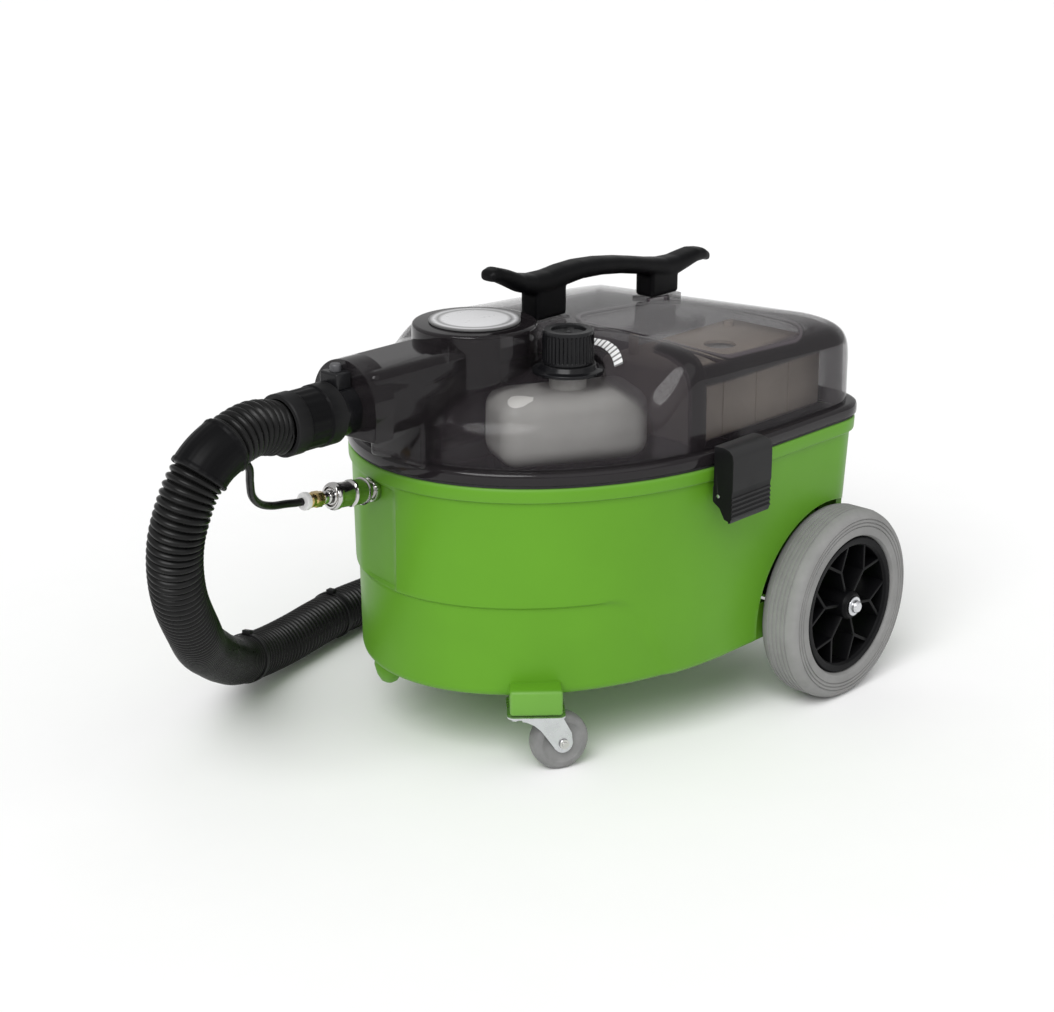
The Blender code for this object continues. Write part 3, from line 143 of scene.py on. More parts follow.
def plastic(name, colour, rough=(0.35, 0.45), vary=0.06, cloud=9.0, grain=900.0, grain_depth=0.00004,
            grain_strength=0.25, edge=0.0, **more):
    """A moulded plastic: slow tone drift, uneven gloss, fine grain and slightly worn edges."""
    material, shader, tree = node_material(name, **more)
    slow = noise_at(tree, cloud, 4.0)
    dark = tuple(c * (1 - vary) for c in colour)
    light = tuple(min(1, c * (1 + vary)) for c in colour)
    tone = ramp(tree, slow, [(0.35, dark), (0.65, light)])
    if edge:
        worn = tuple(min(1, c + edge * (1 - c)) for c in colour)
        tone = mixed(tree, edge_share(tree), tone, worn)
    tree.links.new(tone, shader.inputs["Base Color"])
    fine = noise_at(tree, grain, 2.0)
    tree.links.new(spread_range(tree, noise_at(tree, cloud * 6, 3.0), *rough), shader.inputs["Roughness"])
    bump(tree, shader, fine, grain_strength, grain_depth)
    return material


def metal(name, colour, rough=(0.15, 0.3), streak=(1, 1, 1), scale=60.0, vary=0.12):
    material, shader, tree = node_material(name, metallic=1.0)
    pattern = noise_at(tree, scale, 5.0, 0.6, streak)
    tone = ramp(tree, pattern, [(0.3, tuple(c * (1 - vary) for c in colour)), (0.7, colour)])
    tree.links.new(tone, shader.inputs["Base Color"])
    tree.links.new(spread_range(tree, pattern, *rough), shader.inputs["Roughness"])
    bump(tree, shader, pattern, 0.08, 0.0002)
    return material


GREEN = plastic("tub_green_plastic", (0.104, 0.288, 0.016), rough=(0.34, 0.42), vary=0.05, cloud=5.0,
                grain=700.0, grain_strength=0.12, edge=0.08, shine=0.2)
BLACK = plastic("black_plastic_grained", (0.003, 0.003, 0.0035), rough=(0.36, 0.46), vary=0.25,
                grain=1500.0, grain_strength=0.30, edge=0.02, shine=0.09)
GLOSS_BLACK = plastic("black_plastic_gloss", (0.006, 0.006, 0.007), rough=(0.16, 0.26), vary=0.25,
                      grain=500.0, grain_strength=0.06, edge=0.02, shine=0.20)
LATCH_BLACK = plastic("latch_plastic", (0.006, 0.006, 0.0065), rough=(0.32, 0.44), vary=0.2,
                      grain=1300.0, grain_strength=0.2, edge=0.04, shine=0.12)
HOSE = plastic("hose_plastic", (0.006, 0.006, 0.006), rough=(0.26, 0.38), vary=0.3, cloud=30.0,
               grain=800.0, grain_strength=0.15, shine=0.20)
RUBBER = plastic("seal_rubber", (0.015, 0.015, 0.016), rough=(0.65, 0.8), vary=0.2, grain=1800.0)
TYRE = plastic("tyre_grey_rubber", (0.225, 0.224, 0.220), rough=(0.70, 0.85), vary=0.10, cloud=26.0,
               grain=1500.0, grain_strength=0.35)
CASTER_GREY = plastic("caster_grey_rubber", (0.190, 0.190, 0.188), rough=(0.45, 0.6), vary=0.12, cloud=60.0,
                      grain=1500.0, grain_strength=0.2)
MILKY = plastic("milky_plastic", (0.72, 0.71, 0.68), rough=(0.38, 0.5), vary=0.05, cloud=20.0)
BEIGE = plastic("beige_plastic", (0.40, 0.35, 0.30), rough=(0.5, 0.65), vary=0.07, cloud=22.0)
WHITE = plastic("white_plastic", (0.78, 0.78, 0.77), rough=(0.3, 0.45), vary=0.03)
GREY = plastic("grey_plastic", (0.06, 0.06, 0.065), rough=(0.4, 0.55), vary=0.12, edge=0.05)
TANK = plastic("tank_plastic", (0.016, 0.015, 0.016), rough=(0.4, 0.55), vary=0.25, shine=0.2)
ZINC = metal("zinc_plated_steel", (0.66, 0.67, 0.69), rough=(0.22, 0.36), scale=90.0)
CHROME = metal("chrome", (0.62, 0.61, 0.60), rough=(0.08, 0.2), streak=(1, 6, 6), scale=120.0)
BRASS = metal("brass", (0.62, 0.46, 0.20), rough=(0.2, 0.32), streak=(1, 5, 5), scale=150.0)


# ================================================================ the smoked plastic
TURRET_X = -0.310
LID_LOW_Z = 0.2910
LID_BASE_Z = 0.3035


class Field:
    """A value in a material's node tree; arithmetic on it adds Math nodes."""

    def __init__(self, tree, socket):
        self.tree, self.socket = tree, socket

    def step(self, operation, other=0.0):
        node = add(self.tree, "ShaderNodeMath", operation=operation)
        for socket, value in zip(node.inputs, (self, other)):
            if isinstance(value, Field):
                self.tree.links.new(value.socket, socket)
            else:
                socket.default_value = value
        return Field(self.tree, node.outputs[0])

    def __add__(self, other):
        return self.step("ADD", other)

    def __sub__(self, other):
        return self.step("SUBTRACT", other)

    def __mul__(self, other):
        return self.step("MULTIPLY", other)

    def __neg__(self):
        return self * -1.0

    def most(self, other):
        return self.step("MAXIMUM", other)

    def off(self, middle):
        """How far the value is from middle."""
        return (self - middle).step("ABSOLUTE")

    def below(self, edge, width):
        """One where the value is under edge, nought over edge + width."""
        node = add(self.tree, "ShaderNodeMapRange", interpolation_type="SMOOTHSTEP")
        for name, value in (("From Min", edge), ("From Max", edge + width), ("To Min", 1.0), ("To Max", 0.0)):
            node.inputs[name].default_value = value
        self.tree.links.new(self.socket, node.inputs["Value"])
        return Field(self.tree, node.outputs["Result"])

    def above(self, edge, width):
        """One where the value is over edge, nought under edge - width."""
        return (-self).below(-edge, width)


def machine_place(tree):
    """Machine coordinates as three fields."""
    where = add(tree, "ShaderNodeTexCoord")
    split = add(tree, "ShaderNodeSeparateXYZ")
    tree.links.new(where.outputs["Object"], split.inputs[0])
    return [Field(tree, socket) for socket in split.outputs]


def smoked(name, colour, clear, rough):
    """See-through where the wall is thin; denser in the duct, the turret and the skirt; dark bands painted on
    the roof window's rounded rim, shoulder and pillar stand in for reflections of the dark surroundings, and
    the roof window is painted lighter as a sheen.
    """
    material, shader, tree = node_material(name, shine=0.30)
    x, y, z = machine_place(tree)
    near = y.below(0.004, 0.004)
    high = z.above(0.372, 0.006)
    side = y.below(-0.150, 0.01)

    # the roof window, painted lighter as a sheen, and painted dark reflections on its rounded rim, the
    # shoulder beside it and the pillar
    over_x = (x.off(-0.108) - 0.048).most(0.0)
    over_y = (y.off(-0.100) - 0.052).most(0.0)
    away = (over_x * over_x + over_y * over_y).step("SQRT")
    rim = away.off(0.040).below(0.0016, 0.0016) * near * high
    window = away.below(0.0395, 0.002) * near * high
    shoulder_reflection = z.off(0.3755).below(0.0070, 0.004) * side * x.off(-0.085).below(0.112, 0.01)
    pillar_reflection = x.off(-0.209).below(0.0080, 0.002) * side
    frames = rim.most(shoulder_reflection).most(pillar_reflection)

    # walls that are seen through more plastic
    bay = x.off(-0.2350).below(0.0180, 0.010) * near
    crown = x.off(-0.2450).below(0.0450, 0.012) * z.above(0.392, 0.006)
    edges = y.above(0.0, 0.03).most(x.above(-0.004, 0.02)).most(bay.most(crown))

    sill = z.below(LID_BASE_Z + 0.0012, 0.002)
    dx, dy = x.off(TURRET_X), y.off(0.0)
    turret = (dx * dx + dy * dy).step("SQRT").below(0.0608, 0.003) * z.above(0.366, 0.012)
    duct = x.below(-0.362, 0.008) * dy.below(0.0415, 0.002) * z.above(0.312, 0.006)
    double = turret.most(duct)

    base = Field(tree, spread_range(tree, noise_at(tree, 7.0, 4.0), clear * 0.9, clear * 1.1))
    # the painted dark reflections on the rim, shoulder and pillar are also made denser
    alpha = base + frames * 0.68 + edges * 0.30 + double * 0.42
    alpha = alpha.most(sill * 0.93).step("MINIMUM", 0.95)
    tree.links.new(alpha.socket, shader.inputs["Alpha"])
    # painted dark reflections on the rim, shoulder and pillar take this darker tone, as do the denser duct,
    # turret and skirt
    tone = mixed(tree, frames.most(double.most(sill)).socket, colour, tuple(c * 0.35 for c in colour))
    # painted sheen: the roof window's colour is made lighter
    tone = mixed(tree, window.socket, tone, tuple(min(1.0, c * 1.7) for c in colour))
    tree.links.new(tone, shader.inputs["Base Color"])
    tree.links.new(spread_range(tree, noise_at(tree, 40.0), *rough), shader.inputs["Roughness"])
    bump(tree, shader, noise_at(tree, 55.0), 0.02, 0.0002)
    return material


SMOKE = smoked("smoked_plastic", (0.040, 0.034, 0.038), 0.27, (0.05, 0.11))


# ================================================================ mesh tools
def finish_mesh(name, bm, materials, smooth=35.0, body=None):
    """The mesh as a piece in the row frame; faces keep their material numbers."""
    bmesh.ops.recalc_face_normals(bm, faces=bm.faces)
    mesh = bpy.data.meshes.new(name)
    bm.to_mesh(mesh)
    bm.free()
    for material in materials if isinstance(materials, (list, tuple)) else [materials]:
        mesh.materials.append(material)
    obj = bpy.data.objects.new(name, mesh)
    bpy.context.scene.collection.objects.link(obj)
    obj.location = SHIFT
    if smooth:
        mesh.shade_smooth()
        mesh.set_sharp_from_angle(angle=math.radians(smooth))
    if body:
        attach(obj, body)
    return obj


def skin(bm, rings, closed=False, caps=True, material=0):
    """Faces through rings of equally many points."""
    rows = [[bm.verts.new(point) for point in ring] for ring in rings]
    pairs = list(zip(rows, rows[1:]))
    if closed:
        pairs.append((rows[-1], rows[0]))
    count = len(rows[0])
    for lower, upper in pairs:
        for i in range(count):
            j = (i + 1) % count
            face = bm.faces.new((lower[i], lower[j], upper[j], upper[i]))
            face.material_index = material
    if caps and not closed:
        bm.faces.new(list(reversed(rows[0]))).material_index = material
        bm.faces.new(rows[-1]).material_index = material
    return rows


def axis_frame(direction):
    along = Vector(direction).normalized()
    side = Vector((0, 0, 1)).cross(along)
    if side.length < 1e-4:
        side = Vector((1, 0, 0))
    side.normalize()
    return side, along.cross(side), along


def lathe(name, profile, materials, place, direction=(0, 0, 1), sides=64, wave=None, body=None, smooth=35.0,
          ring=False, bm=None):
    """A (radius, height) profile turned about direction; wave(angle, radius, height) gives a new radius."""
    own = bm is None
    bm = bmesh.new() if own else bm
    u, v, w = axis_frame(direction)
    origin = Vector(place)
    rings = []
    for radius, height in profile:
        points = []
        for step in range(sides):
            angle = 2 * math.pi * step / sides
            r = wave(angle, radius, height) if wave else radius
            points.append(origin + (u * math.cos(angle) + v * math.sin(angle)) * max(r, 0.00002) + w * height)
        rings.append(points)
    skin(bm, rings, closed=ring)
    return finish_mesh(name, bm, materials, smooth, body) if own else bm


def flutes(depth, count, inside, low=-1.0, high=1.0, power=1):
    """A wave for lathe: grooves where the radius is over inside and the height is between low and high."""
    def wave(angle, radius, height):
        if radius > inside and low < height < high:
            return radius - depth * (0.5 + 0.5 * math.cos(angle * count)) ** power
        return radius
    return wave


def rounded(profile, radius=0.0006, steps=3):
    """Corners of a profile, apart from its ends, replaced by short arcs."""
    done = [profile[0]]
    for before, here, after in zip(profile, profile[1:], profile[2:]):
        a, b, c = Vector(before), Vector(here), Vector(after)
        reach = min(radius, (a - b).length * 0.45, (c - b).length * 0.45)
        first = b + (a - b).normalized() * reach
        last = b + (c - b).normalized() * reach
        for step in range(steps + 1):
            t = step / steps
            point = first.lerp(b, t).lerp(b.lerp(last, t), t)
            done.append((point.x, point.y))
    done.append(profile[-1])
    return done


def block(bm, low, high, bevel=0.001, segments=3, material=0, turn=None):
    """A box with rounded edges added to bm."""
    made = bmesh.ops.create_cube(bm, size=1)["verts"]
    size = Vector(high) - Vector(low)
    middle = (Vector(high) + Vector(low)) / 2
    bmesh.ops.scale(bm, vec=size, verts=made)
    if turn:
        bmesh.ops.rotate(bm, matrix=turn, verts=made)
    bmesh.ops.translate(bm, vec=middle, verts=made)
    edges = list({edge for vert in made for edge in vert.link_edges})
    faces = list({face for vert in made for face in vert.link_faces})
    for face in faces:
        face.material_index = material
    if bevel:
        done = bmesh.ops.bevel(bm, geom=edges, offset=bevel, segments=segments, affect="EDGES", profile=0.5)
        for face in done["faces"]:
            face.material_index = material
    return bm


def block_piece(name, low, high, materials, bevel=0.001, segments=3, body=None):
    return finish_mesh(name, block(bmesh.new(), low, high, bevel, segments), materials, 35.0, body)


def slab(bm, outline, low, high, plane="XY", bevel=0.0008, segments=2, material=0):
    """A flat outline between two heights, with rounded rims; plane XZ runs its height along y, YZ along x."""
    def place(a, b, h):
        return {"XY": (a, b, h), "XZ": (a, h, b), "YZ": (h, a, b)}[plane]
    bottom = [bm.verts.new(place(a, b, low)) for a, b in outline]
    top = [bm.verts.new(place(a, b, high)) for a, b in outline]
    faces = [bm.faces.new(list(reversed(bottom))), bm.faces.new(top)]
    rims = []
    count = len(outline)
    for i in range(count):
        j = (i + 1) % count
        faces.append(bm.faces.new((bottom[i], bottom[j], top[j], top[i])))
    for face in faces:
        face.material_index = material
    if bevel:
        rims = list(faces[0].edges) + list(faces[1].edges)
        done = bmesh.ops.bevel(bm, geom=rims, offset=bevel, segments=segments, affect="EDGES", profile=0.5)
        for face in done["faces"]:
            face.material_index = material
    return bm


def apply_modifiers(obj):
    bpy.context.view_layer.update()
    evaluated = obj.evaluated_get(bpy.context.evaluated_depsgraph_get())
    mesh = bpy.data.meshes.new_from_object(evaluated)
    obj.modifiers.clear()
    obj.data = mesh


def dress(obj, *materials):
    """These materials in place of the ones obj has."""
    obj.data.materials.clear()
    for material in materials:
        obj.data.materials.append(material)


def boolean(target, tool, operation):
    """Apply a Boolean at once and drop the tool."""
    modifier = target.modifiers.new("boolean", "BOOLEAN")
    modifier.operation = operation
    modifier.solver = "EXACT"
    modifier.object = tool
    apply_modifiers(target)
    bpy.data.objects.remove(tool, do_unlink=True)
    return target


def cut(target, tool):
    boolean(target, tool, "DIFFERENCE")


def join(target, tool):
    boolean(target, tool, "UNION")


def mm(*points):
    """Points given in millimetres."""
    return [tuple(value / 1000 for value in point) for point in points]


def stand_in(obj, node, body=None):
    """obj takes the CAD node's place and on its body."""
    if body:
        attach(obj, body)
    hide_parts(node)
    return obj


def sharpen(obj, degrees=35.0):
    obj.data.shade_smooth()
    obj.data.set_sharp_from_angle(angle=math.radians(degrees))
    return obj


def soften(obj, width, segments, degrees):
    """Rounded edges where faces meet at more than this angle."""
    bevel = obj.modifiers.new("soft edges", "BEVEL")
    bevel.width = width
    bevel.segments = segments
    bevel.limit_method = "ANGLE"
    bevel.angle_limit = math.radians(degrees)


def remesh(obj, voxel, smooth_steps=4):
    """Join overlapping shapes into one skin with softly blended inner corners."""
    modifier = obj.modifiers.new("remesh", "REMESH")
    modifier.mode = "VOXEL"
    modifier.voxel_size = voxel
    relax = obj.modifiers.new("relax", "SMOOTH")
    relax.factor = 0.5
    relax.iterations = smooth_steps
    materials = list(obj.data.materials)
    apply_modifiers(obj)
    dress(obj, *materials)
    obj.data.shade_smooth()
    return obj


def arc(across, up, radius, degrees):
    """Points on a circle round (across, up)."""
    return [(across + radius * math.cos(math.radians(a)), up + radius * math.sin(math.radians(a)))
            for a in degrees]


def smoothstep(low, high, value):
    t = min(1.0, max(0.0, (value - low) / (high - low)))
    return t * t * (3 - 2 * t)


def catmull(route, spacing):
    """Evenly spaced points on a Catmull-Rom curve through the route."""
    knots = [Vector(p) for p in route]
    knots = [2 * knots[0] - knots[1]] + knots + [2 * knots[-1] - knots[-2]]
    dense = []
    for a, b, c, d in zip(knots, knots[1:], knots[2:], knots[3:]):
        for step in range(24):
            t = step / 24
            dense.append(0.5 * (2 * b + (c - a) * t + (2 * a - 5 * b + 4 * c - d) * t ** 2
                                + (3 * b - a - 3 * c + d) * t ** 3))
    dense.append(knots[-2])
    lengths = [0.0]
    for a, b in zip(dense, dense[1:]):
        lengths.append(lengths[-1] + (b - a).length)
    count = max(2, round(lengths[-1] / spacing))
    line = []
    index = 0
    for step in range(count + 1):
        target = lengths[-1] * step / count
        while index < len(lengths) - 2 and lengths[index + 1] < target:
            index += 1
        share = (target - lengths[index]) / (lengths[index + 1] - lengths[index])
        line.append(dense[index].lerp(dense[index + 1], share))
    return line, lengths[-1]


def carried(line):
    """Two unit vectors across the line at each point, turning as little as possible."""
    frames = []
    side = None
    for i in range(len(line)):
        along = (line[min(i + 1, len(line) - 1)] - line[max(i - 1, 0)]).normalized()
        if side is None:
            side = along.cross(Vector((0, 0, 1)))
        side = (side - along * side.dot(along)).normalized()
        frames.append((side, along.cross(side), along))
    return frames


def swept(name, line, radius, materials, sides=32, body=None, smooth=60.0, hollow=None):
    """A tube along line whose radius(i, angle) may change; hollow gives an inner radius for a sleeve."""
    frames = carried(line)
    bm = bmesh.new()

    def ring(i, size):
        u, v, _ = frames[i]
        points = []
        for step in range(sides):
            angle = 2 * math.pi * step / sides
            reach = size(i, angle) if callable(size) else size
            points.append(line[i] + (u * math.cos(angle) + v * math.sin(angle)) * reach)
        return points

    rings = [ring(i, radius) for i in range(len(line))]
    if hollow:
        rings += [ring(i, hollow) for i in reversed(range(len(line)))]
    skin(bm, rings, closed=bool(hollow))
    return finish_mesh(name, bm, materials, smooth, body)


# ================================================================ camera
CAMERA_AZIMUTH = -47.129
CAMERA_ELEVATION = 18.811
CAMERA_PLACE = Vector((-1.81435, -1.46449, 0.94558))
CAMERA_LENS = 77.52


def make_camera():
    a, e = math.radians(CAMERA_AZIMUTH), math.radians(CAMERA_ELEVATION)
    back = Vector((math.sin(a) * math.cos(e), -math.cos(a) * math.cos(e), math.sin(e)))
    data = bpy.data.cameras.new("photo_camera")
    data.lens = CAMERA_LENS
    data.sensor_width = 36.0
    data.clip_start = 0.05
    data.clip_end = 50.0
    camera = bpy.data.objects.new("photo_camera", data)
    camera.location = CAMERA_PLACE + SHIFT
    camera.rotation_mode = "QUATERNION"
    camera.rotation_quaternion = (-back).to_track_quat("-Z", "Y")
    bpy.context.scene.collection.objects.link(camera)
    bpy.context.scene.camera = camera


# ================================================================ hoses
HOSE_RADIUS = 0.025
RIB_PITCH = 0.0062
CUFF_FRONT = -0.5590
INLET_Z = 0.367
HOSE_ROUTE = mm((-559.3, 0, 367), (-592, -4, 373), (-619, -6, 368), (-643, -5, 356), (-660, -3, 337),
                (-670, 0, 314), (-674, 6, 287), (-670, 14, 256), (-654, 29, 220), (-619, 58, 175),
                (-580, 97, 138), (-535, 138, 105), (-488, 180, 73), (-440, 216, 46), (-382, 241, 32),
                (-332, 254, 29.2), (-281, 267, 29.2), (-234, 277, 28), (-160, 285, 25.4), (-70, 287, 25.4),
                (20, 282, 25.4), (105, 262, 25.4))
LOOP_CENTRE = (0.262, 0.395)
LOOP_RADIUS = 0.195
LOOP_START = -118.0
LOOP_END = 90.0
LOOP_STEP = 23.0
LOOP_STRAIGHT = 0.045
CUFF_RADIUS = 0.029
COUPLER_PLACE = Vector((-0.4045, 0.045, 0.261))
COUPLER_AXIS = Vector((-math.cos(math.radians(6)), 0, math.sin(math.radians(6))))
SOLUTION_START = 0.0912         # from the coupler's foot to where the thin hose leaves its ferrule
SOLUTION_RADIUS = 0.00375
SOLUTION_ROUTE = mm((-515, 44.5, 273.5), (-535, 41, 277.5), (-555, 34, 286), (-572, 24, 300), (-583, 13, 318),
                    (-590.5, 4, 333.5), (-597, 1, 342))


def hose_route():
    route = list(HOSE_ROUTE)
    floor_z = HOSE_ROUTE[-1][2]
    end_z = CUFF_RADIUS + GAP
    steps = round((LOOP_END - LOOP_START) / LOOP_STEP)
    for step in range(steps + 1):
        angle = math.radians(LOOP_START + (LOOP_END - LOOP_START) * step / steps)
        z = end_z if step == steps else floor_z
        route.append((LOOP_CENTRE[0] + LOOP_RADIUS * math.cos(angle),
                      LOOP_CENTRE[1] + LOOP_RADIUS * math.sin(angle), z))
    x, y, z = route[-1]
    route += [(x - LOOP_STRAIGHT / 2, y, z), (x - LOOP_STRAIGHT, y, z)]
    straight = (CUFF_FRONT - GAP - 0.006, 0, INLET_Z)
    return [(CUFF_FRONT - GAP, 0, INLET_Z), straight] + route[1:]


def make_hoses():
    route = hose_route()
    per_rib = 6
    line, length = catmull(route, RIB_PITCH / per_rib)

    def rib(i, angle):
        phase = (i % per_rib) / per_rib
        return HOSE_RADIUS - 0.0034 * (1 - math.sin(math.pi * phase) ** 0.8)

    hose = swept("suction_hose_ribbed", line, rib, HOSE, sides=36)
    stand_in(hose, "suction_hose")

    world = [tuple(p + SHIFT) for p in line[::12]] + [tuple(line[-1] + SHIFT)]
    band = make_hose_band(line)
    ties = [make_tie(f"hose_tie_{n}_strap", line, n, x) for n, x in ((1, -0.425), (2, -0.262))]
    end = make_end_cuff(line[-1])
    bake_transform(hose)
    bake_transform(band)
    [band, end] + ties

    start = COUPLER_PLACE + COUPLER_AXIS * SOLUTION_START
    thin_route = [tuple(start), tuple(start + COUPLER_AXIS * 0.008)] + SOLUTION_ROUTE
    thin, thin_length = catmull(thin_route, 0.003)
    tube = swept("solution_hose_tube", thin, SOLUTION_RADIUS, HOSE, sides=20)
    stand_in(tube, "solution_hose")
    return tube, thin, thin_length


def nearest(line, x):
    """The first point on the floor past x."""
    return next(i for i, p in enumerate(line) if p.x > x and p.z < 0.06)


def make_hose_band(line):
    """The wide sleeve near the hose's top bend, with raised lips near both ends and faint lengthwise ribs."""
    step = (line[1] - line[0]).length
    first, last = round(0.066 / step), round(0.104 / step)
    part = line[first:last + 1]
    count = len(part)

    def outer(i, angle):
        lip = 0.0008 if min(i, count - 1 - i) in (1, 2, 3) else 0.0
        return HOSE_RADIUS + 0.0012 + lip + 0.0002 * math.cos(angle * 24)

    band = swept("hose_band_sleeve", part, outer, BLACK, sides=72, hollow=HOSE_RADIUS + 0.0003)
    stand_in(band, "hose_band")
    return band


def make_tie(name, line, number, x):
    """A thin strap pulled round the hose, with its square head."""
    first = nearest(line, x)
    part = line[first:first + 7]
    frames = carried(part)
    strap = swept(name, part, HOSE_RADIUS + 0.0013, BLACK, sides=48, hollow=HOSE_RADIUS + 0.0001)
    middle, w = part[3], frames[3][2]
    up = (Vector((0, 0, 1)) - w * w.z).normalized()
    side = w.cross(up)
    bm = bmesh.new()
    block(bm, (-0.0045, -0.004, -0.0018), (0.0045, 0.004, 0.0022), 0.0006)
    turn = Matrix((side, w, up)).transposed().to_4x4()
    bmesh.ops.transform(bm, matrix=Matrix.Translation(middle + up * (HOSE_RADIUS + 0.0024)) @ turn,
                        verts=bm.verts)
    bm.from_mesh(strap.data)
    bm.to_mesh(strap.data)
    bm.free()
    sharpen(strap)
    stand_in(strap, f"hose_tie_{number}")
    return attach(strap, "base")


def make_end_cuff(place):
    profile = rounded(mm((19.2, 0.2), (28, 0.2), (28.8, 1.5), (28.8, 10), (27.6, 11), (27.6, 14), (28.8, 15),
                         (28.8, 30), (25.8, 34), (23.6, 84.6), (22.6, 85), (19.2, 85)), 0.0008)
    cuff = lathe("hose_end_cuff_shell", profile, BLACK, place, (-1, 0, 0), 72, ring=True, body="base")
    stand_in(cuff, "hose_end_cuff")
    return cuff


make_camera()
solution_tube, solution_line, solution_length = make_hoses()


# ================================================================ the tub
TUB_HALF_WIDTH = 0.2065
TUB_FRONT_REACH = 0.2665
TUB_NOSE_X = -0.150
TUB_REAR_X = 0.0605
TUB_CORNER = 0.045
TUB_BOTTOM_Z = 0.077
TUB_TOP_Z = 0.288
BAND_HEIGHT = 0.0145
BAND_STEP = 0.003
DRAFT = 0.0135
WALL = 0.003
WHEEL_RADIUS = 0.100
WHEEL_MIDDLE_Y = 0.2125
WHEEL_HALF = 0.0225
SWITCH_YS = (-0.025, 0.025)
SWITCH_Z = 0.220
GRILLE_ZS = (0.098, 0.112, 0.126)
CORD_INLET_Z = 0.150


def plan(half_width, reach, rear_x, corner, nose=120, corner_steps=10, straight=24):
    """The plan outline as (x, y) with many points, starting at the far side and going round the front."""
    points = []
    for step in range(nose + 1):
        angle = math.pi / 2 + math.pi * step / nose
        points.append((TUB_NOSE_X + reach * math.cos(angle), half_width * math.sin(angle)))
    side_end = rear_x - corner
    for step in range(1, straight):
        points.append((TUB_NOSE_X + (side_end - TUB_NOSE_X) * step / straight, -half_width))
    for side in (-1, 1):
        for step in range(corner_steps + 1):
            angle = (-math.pi / 2 if side < 0 else 0.0) + math.pi / 2 * step / corner_steps
            points.append((side_end + corner * math.cos(angle),
                           side * (half_width - corner) + corner * math.sin(angle)))
    for step in range(1, straight):
        points.append((side_end + (TUB_NOSE_X - side_end) * step / straight, half_width))
    return points


def tub_plan(z, inset=0.0, band=0.0):
    share = (TUB_TOP_Z - z) / (TUB_TOP_Z - TUB_BOTTOM_Z)
    step = BAND_STEP * (1 - band)
    return plan(TUB_HALF_WIDTH - step - inset - DRAFT * share, TUB_FRONT_REACH - step - inset + 0.002 * share,
                TUB_REAR_X - step - inset, TUB_CORNER - inset)


def pan_line(x):
    """Height of the step round the lower front, which runs down the sides as a curve."""
    return 0.168 - 0.100 * smoothstep(-0.305, -0.212, x) ** 1.5


def tub_point(x, y, z):
    """The lower step and the flat panel round the coupler, pressed into the plain outline."""
    centre = Vector((TUB_NOSE_X if x < TUB_NOSE_X else x, 0))
    out = (Vector((x, y)) - centre)
    out = out.normalized() if out.length > 1e-6 else Vector((1, 0))
    if x < -0.19:
        slope = (pan_line(x + 0.001) - pan_line(x - 0.001)) / 0.002
        soft = 0.0019 + 0.0045 * min(1.0, abs(slope))
        depth = 0.0032 * smoothstep(-soft, soft, (pan_line(x) - z) / math.hypot(1.0, slope))
        x -= out.x * depth
        y -= out.y * depth
    edge = smoothstep(0.0065, 0.0085, y) * (1 - smoothstep(0.083, 0.087, y))
    edge *= smoothstep(0.168, 0.171, z) * (1 - smoothstep(0.2695, 0.2715, z))
    if edge > 0 and x < -0.3:
        x = max(x, x + (panel_x(y) - x) * edge)
    return (x, y, z)


def panel_x(y):
    return -0.4105 + (y - 0.008) * math.tan(math.radians(13))


def inner_point(x, y, z):
    """The inside keeps clear of the coupler panel's recess."""
    if x < -0.3:
        share = smoothstep(-0.03, 0.004, y) * (1 - smoothstep(0.088, 0.12, y))
        x = max(x, x + (panel_x(y) + 0.0040 - x) * share)
    return (x, y, z)


